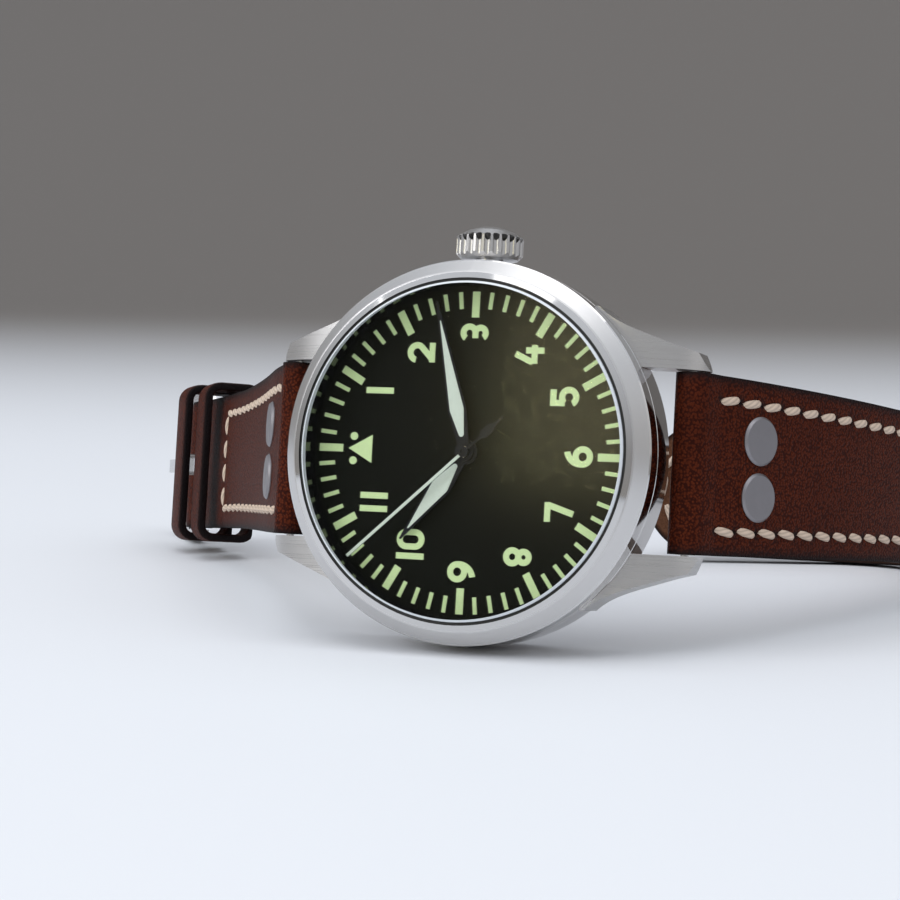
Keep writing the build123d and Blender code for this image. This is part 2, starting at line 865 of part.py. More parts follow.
def movement_ring():
    """The ring that fills the space between the movement and the case, seated behind the dial."""
    body = ring(
        bore_radius - ring_wall_gap, movement_radius + ring_wall_gap, ring_back, plate_front
    )
    body -= crown_axis_bore(stem_radius + 3 * running_gap, movement_radius - overrun, case_radius)
    for cutter in around(clamp_shape(press_fit_gap), clamp_count, clamp_first):
        body -= cutter
    for place in clamp_screw_places():
        body -= disc(screw_shank_radius + press_fit_gap, ring_back - overrun, plate_back + overrun, place)
        body -= disc(screw_head_radius + press_fit_gap, ring_back - overrun, clamp_back, place)
    return body


def clamp_shape(gap):
    """One clamp that holds the movement in its ring, lying over the plate's edge."""
    back = clamp_back - (overrun * 3 if gap else 0)
    middle = movement_radius - clamp_grip + clamp_length / 2
    height = plate_back - press_fit_gap - back
    return Pos(middle, 0, back) * Box(
        clamp_length + gap, clamp_width + gap, height, align=(Align.CENTER, Align.CENTER, Align.MIN)
    )


def clamp_screw_places():
    """The places of the clamps' screws."""
    distance = movement_radius - clamp_grip + clamp_length * 2 / 3
    return [polar(distance, clamp_first + 360 * index / clamp_count) for index in range(clamp_count)]


def casing_clamps():
    """The clamps, drilled for their screws."""
    clamps = around(clamp_shape(0), clamp_count, clamp_first)
    drilled_clamps = []
    for clamp, place in zip(clamps, clamp_screw_places()):
        hole = disc(screw_shank_radius + press_fit_gap, ring_back - overrun, plate_back, place)
        drilled_clamps.append(clamp - hole)
    return drilled_clamps


def casing_screws():
    """The clamps' screws."""
    head_back = clamp_back - screw_head_height
    length = screw_head_height + clamp_thickness + bridge_thickness
    return [slotted_screw(place, head_back, length) for place in clamp_screw_places()]


clamp_back = plate_back - press_fit_gap - clamp_thickness
post_radius = arbor_radius
seconds_arbor_radius = arbor_radius
minute_wheel_distance = cannon_pinion_radius + minute_wheel_radius + mesh_gap
minute_wheel_at = polar(minute_wheel_distance, minute_wheel_angle)
minute_wheel_reach = minute_wheel_distance + minute_wheel_radius
hour_wheel_radius = minute_wheel_distance - minute_pinion_radius - mesh_gap
cannon_level = motion_floor + layer_gap
hour_wheel_level = cannon_level + 2 * wheel_thickness + layer_gap
click_pivot = arbor_radius * 2
click_shift = polar(ratchet_radius + click_pivot * 2, click_angle)
click_at = (barrel_at[0] + click_shift[0], barrel_at[1] + click_shift[1])


def spiral(inner, outer, turns, wire, low, high, place):
    """A flat spring of half turns, each a little larger than the last, as one unbroken band."""
    halves = 2 * turns
    grow = (outer - inner) / halves
    edges = []
    for side in (1, -1):
        x = inner + side * wire / 2
        run = []
        for half in range(halves):
            heading = 1 if half % 2 == 0 else -1
            radius = inner + grow * (half + 0.5) + side * wire / 2
            end = x - heading * 2 * radius
            run.append(ThreePointArc((x, 0), ((x + end) / 2, heading * radius), (end, 0)))
            x = end
        edges.append((run, x))
    start = Line((inner - wire / 2, 0), (inner + wire / 2, 0))
    finish = Line((edges[0][1], 0), (edges[1][1], 0))
    strip = make_face([start, finish] + edges[0][0] + edges[1][0])
    return Pos(place[0], place[1], low) * extrude(strip, high - low)


def mainspring():
    """The spring wound inside the barrel, between its arbor and its wall."""
    inner = barrel_arbor_radius + 2 * running_gap + mainspring_wire / 2
    outer = barrel_radius - tooth_depth - barrel_wall - 2 * running_gap - mainspring_wire
    gap = barrel_wall + running_gap
    return spiral(
        inner, outer, mainspring_turns, mainspring_wire, barrel_back + gap, barrel_front - gap, barrel_at
    )


def barrel():
    """The toothed drum with its lid."""
    body = toothed(barrel_radius, barrel_teeth, barrel_back, barrel_front, barrel_at)
    hollow = barrel_radius - tooth_depth - barrel_wall
    body -= disc(hollow, barrel_back + barrel_wall, barrel_front - barrel_wall, barrel_at)
    arbor_hole = barrel_arbor_radius + running_gap
    return body - disc(arbor_hole, barrel_back - overrun, barrel_front + overrun, barrel_at)


def barrel_arbor():
    """The arbor in the middle of the barrel, which the ratchet wheel winds."""
    body = disc(barrel_arbor_radius, ratchet_back, barrel_front, barrel_at)
    return body + disc(barrel_arbor_radius / 2, barrel_front, barrel_front + plate_web / 2, barrel_at)


def ratchet_wheel():
    """The wheel on the barrel's arbor."""
    bore = barrel_arbor_radius + press_fit_gap
    return toothed(ratchet_radius, ratchet_teeth, ratchet_back, ratchet_front, barrel_at, bore)


def crown_wheel():
    """The wheel between the winding pinion and the ratchet wheel."""
    levels = (ratchet_back, ratchet_front)
    return toothed(crown_wheel_radius, crown_wheel_teeth, *levels, crown_wheel_at, crown_wheel_boss)


def click_shape(gap):
    """The click's outline: a pawl from its pivot towards the ratchet's teeth."""
    back = ratchet_back - (overrun if gap else 0)
    front = ratchet_front + (layer_gap if gap else 0)
    half = click_pivot + gap
    tip = polar(ratchet_radius + layer_gap + click_pivot, click_angle + click_sweep)
    tip = (barrel_at[0] + tip[0], barrel_at[1] + tip[1])
    angle = math.degrees(math.atan2(tip[1] - click_at[1], tip[0] - click_at[0]))
    middle = ((click_at[0] + tip[0]) / 2, (click_at[1] + tip[1]) / 2)
    arm = Pos(middle[0], middle[1], back) * Rot(0, 0, angle) * Box(
        math.dist(tip, click_at), 2 * half, front - back, align=(Align.CENTER, Align.CENTER, Align.MIN)
    )
    return arm + disc(half, back, front, tip) + disc(half, back, front, click_at)


def click():
    """The click with its pivot pin."""
    return click_shape(0) + disc(click_pivot - running_gap, ratchet_back, bridge_front, click_at)


def centre_wheel():
    """The centre wheel with its pinion and the hollow arbor that carries the cannon pinion."""
    top = centre_level + wheel_thickness
    gear = toothed(centre_wheel_radius, centre_teeth, centre_level, top)
    gear = spoked(gear, centre_wheel_radius, centre_pinion_radius, centre_level, top)
    pinion = toothed(centre_pinion_radius, centre_pinion_teeth, top, barrel_front)
    arbor = disc(centre_arbor, centre_level, hour_wheel_level)
    hole = disc(seconds_arbor_radius + running_gap, centre_level - overrun, hand_top)
    return gear + pinion + arbor - hole


def third_wheel():
    """The third wheel with its pinion."""
    gear = toothed(third_wheel_radius, third_teeth, third_level, third_level + wheel_thickness, third_at)
    gear = spoked(
        gear, third_wheel_radius, third_pinion_radius, third_level, third_level + wheel_thickness, third_at
    )
    end = centre_level + 2 * wheel_thickness
    pinion = toothed(third_pinion_radius, third_pinion_teeth, third_level, end, third_at)
    return gear + pinion + pivots(third_at)


def pivots(place, front=None, back=None):
    """The arbor of a wheel, from the plate to the bridge's jewel."""
    front = pocket_roof + plate_web / 2 if front is None else front
    back = bridge_back + press_fit_gap if back is None else back
    return disc(arbor_radius, back, front, place)


def fourth_wheel():
    """The fourth wheel, whose long arbor carries the seconds hand."""
    top = fourth_level + wheel_thickness
    gear = toothed(fourth_wheel_radius, fourth_teeth, fourth_level, top)
    gear = spoked(gear, fourth_wheel_radius, fourth_pinion_radius, fourth_level, top)
    pinion = toothed(fourth_pinion_radius, fourth_pinion_teeth, fourth_level, third_level + wheel_thickness)
    arbor = disc(seconds_arbor_radius, bridge_back + press_fit_gap, seconds_level)
    return gear + pinion + arbor


def escape_wheel():
    """The escape wheel with hooked teeth, and its pinion."""
    top = escape_level + wheel_thickness
    points = []
    for tooth in range(escape_teeth):
        turn = 360 * tooth / escape_teeth
        step = 360 / escape_teeth
        for radius_share, angle_share in escape_tooth_shares:
            shift = polar(escape_wheel_radius * radius_share, turn + step * angle_share)
            points.append((escape_at[0] + shift[0], escape_at[1] + shift[1]))
    gear = plate(points, escape_level, top)
    end = fourth_level + 2 * wheel_thickness
    pinion = toothed(escape_pinion_radius, escape_pinion_teeth, fourth_level, end, escape_at)
    return gear + pinion + pivots(escape_at)


def pallet_fork():
    """The lever with its two pallets, which checks the escape wheel."""
    top = escape_level + wheel_thickness
    body = disc(arbor_radius * 2, escape_level, top, pallet_at)
    toward = pallet_angle + 180
    for spread in (pallet_spread, -pallet_spread):
        reach = polar(pallet_arm / 2, toward + spread)
        arm = Pos(pallet_at[0] + reach[0], pallet_at[1] + reach[1], escape_level) * Rot(0, 0, toward + spread)
        body += arm * Box(
            pallet_arm, arbor_radius * 2, wheel_thickness, align=(Align.CENTER, Align.CENTER, Align.MIN)
        )
    fork = Rot(0, 0, pallet_angle) * Box(
        fork_length, arbor_radius * 2, wheel_thickness, align=(Align.MIN, Align.CENTER, Align.MIN)
    )
    body += Pos(pallet_at[0], pallet_at[1], escape_level) * fork
    return body + pivots(pallet_at, back=pallet_bridge_level)


def balance_wheel():
    """The balance: a rim, two arms and its staff."""
    top = balance_level + balance_height
    body = ring(balance_radius, balance_radius - balance_rim, balance_level, top, balance_at)
    arm = Pos(balance_at[0], balance_at[1], balance_level + balance_height / 2) * Box(
        2 * balance_radius - balance_rim, balance_rim, balance_height / 2
    )
    body += arm
    body += disc(balance_rim, balance_level - layer_gap, top, balance_at)
    return body + pivots(balance_at)


def hairspring():
    """The balance's spring, wound flat between the balance and its cock."""
    inner = balance_rim + 2 * running_gap
    return spiral(
        inner,
        hairspring_radius,
        hairspring_turns,
        hairspring_wire,
        hairspring_level,
        hairspring_level + hairspring_height,
        balance_at,
    )


def cannon_pinion():
    """The pinion whose pipe carries the minute hand."""
    top = cannon_level + 2 * wheel_thickness
    teeth = toothed(cannon_pinion_radius, cannon_pinion_teeth, cannon_level, top)
    pipe = disc(cannon_radius, cannon_level, minute_level + hand_thickness)
    return teeth + pipe - disc(centre_arbor + running_gap, cannon_level - overrun, hand_top)


def minute_wheel():
    """The wheel between the cannon pinion and the hour wheel."""
    top = cannon_level + wheel_thickness
    gear = toothed(minute_wheel_radius, minute_wheel_teeth, cannon_level, top, minute_wheel_at)
    end = hour_wheel_level + wheel_thickness
    pinion = toothed(minute_pinion_radius, minute_pinion_teeth, cannon_level, end, minute_wheel_at)
    post_back = motion_floor - plate_web / 2 + seat_gap
    return gear + pinion + disc(post_radius - running_gap, post_back, cannon_level, minute_wheel_at)


def hour_wheel():
    """The wheel whose pipe carries the hour hand."""
    top = hour_wheel_level + wheel_thickness
    gear = toothed(hour_wheel_radius, hour_wheel_teeth, hour_wheel_level, top)
    pipe = disc(hour_pipe_radius, hour_wheel_level, hour_hand_lift + hand_thickness)
    return gear + pipe - disc(cannon_radius + running_gap, hour_wheel_level - overrun, hand_top)


minute_level = hour_hand_lift + hand_thickness + hand_gap
hour_minutes = 5 * (shown_hours + shown_minutes / 60)
hour_shape = (hour_hand_length, hour_hand_widest, hour_hand_width, hour_lume_end)
minute_shape = (minute_hand_length, minute_hand_widest, minute_hand_width, minute_lume_end)


def rotor_bearing():
    """The ball race screwed to the middle of the train bridge."""
    front = bridge_back - press_fit_gap
    return ring(rotor_bearing_radius / 2, arbor_radius * 2, front - rotor_bearing_height, front)


def rotor():
    """The half-moon weight that winds the watch as the wrist moves."""
    front = bridge_back - rotor_lift
    web = ring(rotor_radius, rotor_bearing_radius / 2 + running_gap, front - rotor_web, front)
    weight = ring(rotor_radius, rotor_radius - rotor_rim, front - rotor_rim_height, front)
    half = Pos(0, -rotor_radius, front) * Box(3 * rotor_radius, 2 * rotor_radius, 4 * rotor_rim_height)
    hub = ring(
        rotor_bearing_radius, rotor_bearing_radius / 2 + running_gap, front - rotor_bearing_height, front
    )
    body = ((web + weight) & half) + hub
    window = (rotor_radius - rotor_rim - rotor_bearing_radius) / 2 * rotor_window_share
    middle = (rotor_radius - rotor_rim + rotor_bearing_radius) / 2
    for index in range(rotor_windows):
        place = polar(middle, rotor_weight_angle + rotor_window_step * (index - (rotor_windows - 1) / 2))
        body -= disc(window, front - rotor_web - overrun, front + overrun, place)
    return Rot(0, 0, rotor_rest) * body


# Dial and hands


def dial():
    """The dial plate."""
    return ring(dial_radius, dial_hole, -dial_thickness, 0)


def bar_mark(length, width, minute):
    """One radial bar at the dial's edge."""
    x, y = clock(mark_outer_radius - length / 2, minute)
    return Pos(x, y, 0) * Rot(0, 0, -360 * minute / 60) * Rectangle(width, length)


def dial_track():
    """The minute bars and the hour bars."""
    marks = []
    for minute in range(60):
        if minute % 5:
            marks.append(bar_mark(minute_mark, minute_mark_width, minute))
        else:
            marks.append(bar_mark(hour_mark, hour_mark_width, minute))
    return [extrude(mark, mark_height) for mark in marks]


def stroke(*edges):
    """The area that a pen of the numerals' width covers along these edges."""
    return trace(list(edges), numeral_stroke)


# Middle lines of the numerals' strokes, as shares of their height; a nine is a six turned round
numeral_line_shares = {
    "0": [(0.2418, -0.1629, 0.2418, 0.1629), (-0.2418, -0.1629, -0.2418, 0.1629)],
    "1": [(0.0, -0.5, 0.0, 0.5)],
    "2": [(0.2114, 0.0141, -0.2143, -0.3954), (-0.3254, -0.3954, 0.3404, -0.3954)],
    "3": [(-0.1744, -0.0333, 0.0349, -0.0333)],
    "4": [(0.0374, 0.5, -0.2492, -0.1107), (-0.2866, -0.1661, 0.3365, -0.1661), (0.1545, 0.1384, 0.1545, -0.5)],
    "5": [(-0.1994, 0.5, -0.1994, -0.0079), (-0.304, 0.3954, 0.2492, 0.3954)],
    "6": [],
    "7": [(-0.3538, 0.3954, 0.2911, 0.3954), (0.2118, 0.3954, -0.0748, -0.5)],
    "8": [],
}
numeral_arc_shares = {
    "0": [(0.0, 0.1536, 0.2418, 0, 180), (0.0, -0.1536, 0.2418, 180, 180)],
    "2": [(0.0, 0.1462, 0.2492, -32, 200)],
    "3": [(0.0, 0.181, 0.2143, -90, 235), (0.0, -0.2143, 0.181, 90, -235)],
    "5": [(0.0, -0.1511, 0.2442, -150, 290)],
    "6": [(0.0, -0.1462, 0.2492, 0, 360)],
    "8": [(0.0, 0.181, 0.2143, 0, 360), (0.0, -0.2143, 0.181, 0, 360)],
}
numeral_bow_shares = {"6": [(-0.2492, -0.1462, -0.1794, 0.1661, 0.1545, 0.3954)]}


def glyph(figure):
    """A numeral's area, centred, from strokes through the middle of its lines."""
    if figure == "9":
        return Rot(0, 0, 180) * glyph("6")
    edges = []
    for shares in numeral_line_shares.get(figure, []):
        places = tuple(share * numeral_height for share in shares)
        edges.append(Line(places[0:2], places[2:4]))
    for x, y, radius, start, sweep in numeral_arc_shares.get(figure, []):
        centre = (x * numeral_height, y * numeral_height)
        edges.append(CenterArc(centre, radius * numeral_height, start, sweep))
    for shares in numeral_bow_shares.get(figure, []):
        places = tuple(share * numeral_height for share in shares)
        edges.append(ThreePointArc(places[0:2], places[2:4], places[4:6]))
    area = stroke(edges[0])
    for edge in edges[1:]:
        area += stroke(edge)
    return area


numeral_place_shares = {
    "1": (0.50, 0.825),
    "2": (0.83, 0.468),
    "3": (1.005, 0.0),
    "4": (0.83, -0.50),
    "5": (0.488, -0.824),
    "6": (0.0, -0.97),
    "7": (-0.458, -0.825),
    "8": (-0.85, -0.487),
    "9": (-1.0, 0.0),
    "10": (-0.82, 0.47),
    "11": (-0.45, 0.825),
}


def dial_numerals():
    """The numerals 1 to 11, upright, round the dial."""
    solids = []
    for text, (x_share, y_share) in numeral_place_shares.items():
        x, y = numeral_radius * x_share, numeral_radius * y_share
        pitch = eleven_pitch if text == "11" else ten_pitch
        for index, figure in enumerate(text):
            shift = (index - (len(text) - 1) / 2) * pitch
            solids.append(extrude(Pos(x + shift, y) * glyph(figure), mark_height))
    return solids


def dial_triangle():
    """The triangle at 12 with its two dots."""
    half = triangle_height / 2
    triangle_centre = numeral_radius - triangle_sink
    dot_centre = numeral_radius + dot_rise
    triangle = make_face(
        Polyline(
            (-triangle_half_width, triangle_centre - half),
            (triangle_half_width, triangle_centre - half),
            (0, triangle_centre + half),
            close=True,
        )
    )
    marks = [triangle]
    for side in (1, -1):
        marks.append(Pos(side * dot_spread, dot_centre) * Circle(dot_radius))
    return [extrude(mark, mark_height) for mark in marks]


def hand_plan(length, widest, width, start, waist):
    """A sword-shaped hand's outline, pointing to 12."""
    return make_face(
        Polyline(
            (-waist / 2, start),
            (-width / 2, widest),
            (-hand_rim / 3, length),
            (hand_rim / 3, length),
            (width / 2, widest),
            (waist / 2, start),
            close=True,
        )
    )


def lume_plan(widest, width, end, grow=0.0):
    """The luminous filling's outline inside a hand's frame, rounded at the hub."""
    half = width / 2 - hand_rim + grow
    root = hand_waist / 2 + grow
    tip = hand_rim / 4
    foot = lume_start + hand_waist / 2
    right = [(root, foot), (half, widest), (tip, end + grow)]
    left = [(-x, y) for x, y in reversed(right)]
    return make_face([Polyline(*right, *left), ThreePointArc(left[-1], (0, foot - root), right[0])])


def framed_hand(length, widest, width, lume_end, boss, hole, level, minutes):
    """A hand's dark frame, with a window for its filling and a boss round its pipe."""
    plan = hand_plan(length, widest, width, 0, hand_waist + 2 * hand_rim) + Circle(boss)
    plan -= Circle(hole)
    plan -= lume_plan(widest, width, lume_end, press_fit_gap)
    return Pos(0, 0, level) * Rot(0, 0, -360 * minutes / 60) * extrude(plan, hand_thickness)


def hand_filling(length, widest, width, lume_end, level, minutes):
    """A hand's luminous filling."""
    plan = lume_plan(widest, width, lume_end)
    return Pos(0, 0, level) * Rot(0, 0, -360 * minutes / 60) * extrude(plan, hand_thickness)


def seconds_hand():
    """The seconds hand with its counterweight and the cap over the arbor."""
    needle = make_face(
        Polyline(
            (-seconds_hand_width / 2, 0),
            (-seconds_hand_width / 2, seconds_boss),
            (seconds_hand_width / 2, seconds_boss),
            (seconds_hand_width / 2, 0),
            close=True,
        )
    )
    tail = Pos(0, -seconds_tail / 2) * Rectangle(seconds_tail_width, seconds_tail)
    middle = (seconds_weight_start + seconds_weight_end) / 2
    weight = make_face(
        Polyline(
            (-seconds_tail_width / 2, -seconds_weight_start),
            (-seconds_weight_width / 2, -(seconds_weight_start + middle) / 2),
            (-seconds_weight_width / 2, -(seconds_weight_end + middle) / 2),
            (-seconds_tail_width / 2, -seconds_weight_end),
            (seconds_tail_width / 2, -seconds_weight_end),
            (seconds_weight_width / 2, -(seconds_weight_end + middle) / 2),
            (seconds_weight_width / 2, -(seconds_weight_start + middle) / 2),
            (seconds_tail_width / 2, -seconds_weight_start),
            close=True,
        )
    )
    arm = Pos(0, seconds_hand_length / 2) * Rectangle(seconds_hand_width, seconds_hand_length)
    flat = extrude(needle + tail + weight + arm + Circle(seconds_boss), hand_thickness / 2)
    cap = disc(seconds_boss, 0, hand_thickness + cap_height)
    cap -= disc(seconds_boss / 2, hand_thickness + cap_height / 2, hand_thickness + 2 * cap_height)
    return Pos(0, 0, seconds_level) * Rot(0, 0, -360 * shown_seconds / 60) * (flat + cap)


def seconds_lume():
    """The pale line laid on the seconds hand."""
    start = seconds_boss + press_fit_gap
    length = seconds_hand_length - start
    line = Pos(0, start + length / 2) * Rectangle(seconds_hand_width, length)
    turn = Rot(0, 0, -360 * shown_seconds / 60)
    return Pos(0, 0, seconds_level + hand_thickness / 2) * turn * extrude(line, hand_thickness / 2)


# Strap, in plans drawn by distance out from the watch's middle and level


def strap_plane(side):
    """The plane of a strap half's side view: side is 1 towards 12 o'clock, -1 towards 6."""
    return Plane(origin=(0, 0, 0), x_dir=(0, side, 0), z_dir=(side, 0, 0))


def place_along(run, slope, distance):
    """Place and heading on a strap half's middle line, so far from its spring bar."""
    x, y, heading = spring_bar_y, spring_bar_z, math.radians(-slope)
    for length, turn in run:
        walked = min(length, distance)
        bend = math.radians(turn) * walked / length
        chord = walked if turn == 0 else walked * math.sin(bend / 2) / (bend / 2) if bend else 0
        x += chord * math.cos(heading + bend / 2)
        y += chord * math.sin(heading + bend / 2)
        heading += bend
        distance -= walked
        if distance <= 0:
            break
    return x, y, heading


def beside(run, slope, distance, offset):
    """A point beside the middle line; a positive offset is on the outer face's side."""
    x, y, heading = place_along(run, slope, distance)
    return x - offset * math.sin(heading), y + offset * math.cos(heading)


def edge_run(run, slope, offset, start, end):
    """The edges of a line beside the middle line, from one distance to another."""
    edges = []
    walked = 0.0
    for length, turn in run:
        low, high = max(start, walked), min(end, walked + length)
        walked += length
        if high - low < press_fit_gap:
            continue
        first = beside(run, slope, low, offset)
        last = beside(run, slope, high, offset)
        if turn == 0:
            edges.append(Line(first, last))
        else:
            edges.append(ThreePointArc(first, beside(run, slope, (low + high) / 2, offset), last))
    return edges


def band(run, slope, low, high, start, end):
    """The side view of a layer of leather between two offsets."""
    edges = edge_run(run, slope, low, start, end) + edge_run(run, slope, high, start, end)
    for distance in (start, end):
        edges.append(Line(beside(run, slope, distance, low), beside(run, slope, distance, high)))
    return make_face(edges)


def width_plan():
    """The strap seen along the dial's plane, from its width at the lugs to its width at the end."""
    wide = lug_gap / 2 - strap_width_gap / 2
    narrow = strap_end_width / 2
    taper_end = spring_bar_z - strap_taper_depth
    deep = -long_length
    points = [
        (-wide, case_front + overrun),
        (-wide, spring_bar_z),
        (-narrow, taper_end),
        (-narrow, deep),
        (narrow, deep),
        (narrow, taper_end),
        (wide, spring_bar_z),
        (wide, case_front + overrun),
    ]
    return extrude(Plane.XZ * make_face(Polyline(*points, close=True)), long_length, both=True)


def leather(side_view, side):
    """A layer of leather: its side view given the strap's width."""
    solid = extrude(strap_plane(side) * side_view, lug_gap / 2, both=True)
    return solid & width_plan()


def strap_frame(run, slope, distance, side, offset=0.0):
    """A frame on the strap: X along it to its end, Z out of its outer face."""
    x, y, heading = place_along(run, slope, distance)
    x, y = x - offset * math.sin(heading), y + offset * math.cos(heading)
    return Plane(
        origin=(0, side * x, y),
        x_dir=(0, side * math.cos(heading), math.sin(heading)),
        z_dir=(0, -side * math.sin(heading), math.cos(heading)),
    )


def bar_bore(run, slope, distance, side, radius, length):
    """A round bar across the strap."""
    frame = strap_frame(run, slope, distance, side)
    return frame * Rot(90, 0, 0) * Cylinder(radius, length)


def rivet_bores(run, slope, side, radius):
    """Cutters for the two rivets' shanks."""
    frame = strap_frame(run, slope, rivet_place, side)
    cutter = Cylinder(radius, 4 * strap_thickness)
    return [frame * Pos(0, across, 0) * cutter for across in (rivet_spread, -rivet_spread)]


short_length = sum(length for length, turn in short_run)
buckle_bar_at = place_along(short_run, short_slope, short_length)
buckle_depth = buckle_bar_at[1] - buckle_height / 2
lean = math.atan((case_radius - buckle_half_width) / (case_foot + flank_edge_fillet - buckle_depth))
tail_depth = (case_radius - strap_end_width / 2) / math.tan(lean) - case_foot - flank_edge_fillet
curl_radius = tail_curl[0] / math.radians(-tail_curl[1])
curl_start = place_along(long_run, long_slope, sum(length for length, turn in long_run))
curl_drop = curl_radius * (1 + math.cos(curl_start[2]))
drop_run = (tail_depth - top_face + curl_start[1] - curl_drop) / -math.sin(curl_start[2])
long_path = long_run + [(drop_run, 0.0), tail_curl, tail_run]
long_length = sum(length for length, turn in long_path)


def strap_top(run, slope, side, length, both_loops):
    """The outer leather of a strap half, wrapped round its spring bar."""
    view = band(run, slope, split_face, top_face, 0, length)
    ends = [0, length] if both_loops else [0]
    for distance in ends:
        x, y, heading = place_along(run, slope, distance)
        view += Pos(x, y) * Circle(loop_radius)
    body = leather(view, side)
    for distance in ends:
        body -= bar_bore(run, slope, distance, side, spring_bar_radius + loop_gap, 2 * lug_gap)
    for cutter in rivet_bores(run, slope, side, rivet_shank + press_fit_gap):
        body -= cutter
    return body


def strap_lining(run, slope, side, length, both_loops):
    """The inner leather of a strap half, which starts behind the loop."""
    end = length - loop_radius if both_loops else length
    view = band(run, slope, back_face, split_face, lining_start, end)
    ends = [0, length] if both_loops else [0]
    for distance in ends:
        x, y, heading = place_along(run, slope, distance)
        view -= Pos(x, y) * Circle(loop_radius + press_fit_gap)
    body = leather(view, side)
    for cutter in rivet_bores(run, slope, side, rivet_shank + press_fit_gap):
        body -= cutter
    return body


def tail_cutters():
    """Cuts the long half's end to a rounded tip, and punches its holes."""
    frame = strap_frame(long_path, long_slope, long_length - tail_tip, -1)
    half = strap_end_width / 2
    blank = Pos(tail_tip / 2, 0, 0) * Box(tail_tip + overrun, 2 * half + overrun, 4 * strap_thickness)
    tip = extrude(Ellipse(tail_tip, half), 4 * strap_thickness, both=True)
    cutters = [frame * (Pos(overrun / 2, 0, 0) * blank - tip)]
    for index in range(hole_count):
        place = strap_frame(long_path, long_slope, long_length - first_hole - hole_pitch * index, -1)
        cutters.append(place * Cylinder(hole_radius, 4 * strap_thickness))
    return cutters


def tongue_slot_cutter():
    """The notch in the short half's end that lets the buckle's tongue through."""
    frame = strap_frame(short_run, short_slope, short_length, 1)
    reach = loop_radius + tongue_eye
    return frame * Box(2 * reach, tongue_slot, 4 * loop_radius)


def rivets(run, slope, side):
    """A strap half's two rivets: a flat bevelled head and its shank."""
    frame = strap_frame(run, slope, rivet_place, side)
    head_foot = top_face + seat_gap
    section = make_face(
        Polyline(
            (0, head_foot + rivet_head),
            (rivet_radius - rivet_bevel, head_foot + rivet_head),
            (rivet_radius, head_foot + rivet_head - rivet_bevel),
            (rivet_radius, head_foot),
            (rivet_shank, head_foot),
            (rivet_shank, back_face - seat_gap - washer_height),
            (0, back_face - seat_gap - washer_height),
            close=True,
        )
    )
    rivet = revolve(Plane.XZ * section, Axis.Z)
    return [frame * Pos(0, across, 0) * rivet for across in (rivet_spread, -rivet_spread)]


def rivet_washers(run, slope, side):
    """The washers that the rivets are closed over, behind the lining."""
    frame = strap_frame(run, slope, rivet_place, side)
    front = back_face - seat_gap
    washer = ring(washer_radius, rivet_shank + press_fit_gap, front - washer_height, front)
    return [frame * Pos(0, across, 0) * washer for across in (rivet_spread, -rivet_spread)]


def keeper(distance, sink):
    """A leather loop round the short half; sink is how far its inner wall lies below the lining."""
    frame = strap_frame(short_run, short_slope, distance, 1)
    inner_half = strap_end_width / 2 + keeper_side_gap
    room = strap_thickness + keeper_room
    low = back_face - sink
    outer_half = inner_half + keeper_leather
    block = Pos(0, 0, low + room / 2) * Box(
        keeper_width, 2 * outer_half, room + 2 * keeper_leather
    )
    block = fillet(block.edges().filter_by(Axis.X), keeper_leather)
    hollow = Pos(0, 0, low + room / 2) * Box(2 * keeper_width, 2 * inner_half, room)
    return frame * (block - hollow)


def spring_bar(frame, span):
    """A spring bar: a tube with a thinner pin at each end."""
    tube = Cylinder(spring_bar_radius, span - 2 * running_gap)
    pin = Cylinder(spring_bar_pin, span + 2 * spring_bar_pin_length)
    return frame * Rot(90, 0, 0) * (tube + pin)


def buckle_frame():
    """The frame at the short half's end: X along the strap, Y across it, Z out of its outer face."""
    return strap_frame(short_run, short_slope, short_length, 1)


def buckle_plan(inset):
    """The buckle's outline, narrower towards its front, with rounded corners."""
    back = -buckle_ear / 2 + inset
    front = buckle_length - inset
    rear_half = buckle_half_width - inset
    front_half = buckle_front_half_width - inset
    outline = make_face(
        Polyline(
            (back, -rear_half), (back, rear_half), (front, front_half), (front, -front_half), close=True
        )
    )
    return fillet(outline.vertices(), buckle_corner - inset / 2)


def buckle():
    """The buckle: side bars with holes for its spring bar, and a front bar for the tongue."""
    frame = buckle_plan(0) - buckle_plan(buckle_bar)
    gap_half = strap_end_width / 2 + buckle_bar_gap
    frame -= Pos(-buckle_ear / 2, 0) * Rectangle(2 * (buckle_ear / 2 + loop_radius), 2 * gap_half)
    body = Pos(0, 0, -buckle_height / 2) * extrude(frame, buckle_height)
    span = 2 * (gap_half + spring_bar_pin_length + running_gap)
    hole = Rot(90, 0, 0) * Cylinder(spring_bar_pin + running_gap, span)
    return buckle_frame() * (body - hole)


def buckle_tongue():
    """The tongue: an eye round the spring bar and a pin that lies on the front bar."""
    eye = Rot(90, 0, 0) * Cylinder(tongue_eye, tongue_width)
    lift = buckle_height / 2 + seat_gap
    tip = buckle_length + tongue_overhang / 2
    side = make_face(
        Polyline(
            (0, -tongue_height / 2),
            (0, tongue_eye - seat_gap),
            (buckle_length / 3, lift + tongue_height),
            (tip, lift + tongue_height),
            (tip + tongue_overhang / 2, lift + tongue_height / 2),
            (tip, lift),
            (buckle_length / 3, lift),
            (tongue_eye, -tongue_height / 2),
            close=True,
        )
    )
    pin = extrude(Plane.XZ * side, tongue_width / 2, both=True)
    bore = Rot(90, 0, 0) * Cylinder(spring_bar_radius + running_gap, 2 * tongue_width)
    return buckle_frame() * (eye + pin - bore)


# Standing pose: 3 o'clock up, dial to -Y, leaning back by the angle worked out above
up = (0, math.sin(lean), math.cos(lean))
dial_normal = (0, -math.cos(lean), math.sin(lean))
standing = Plane(origin=(0, 0, 0), x_dir=up, z_dir=dial_normal)


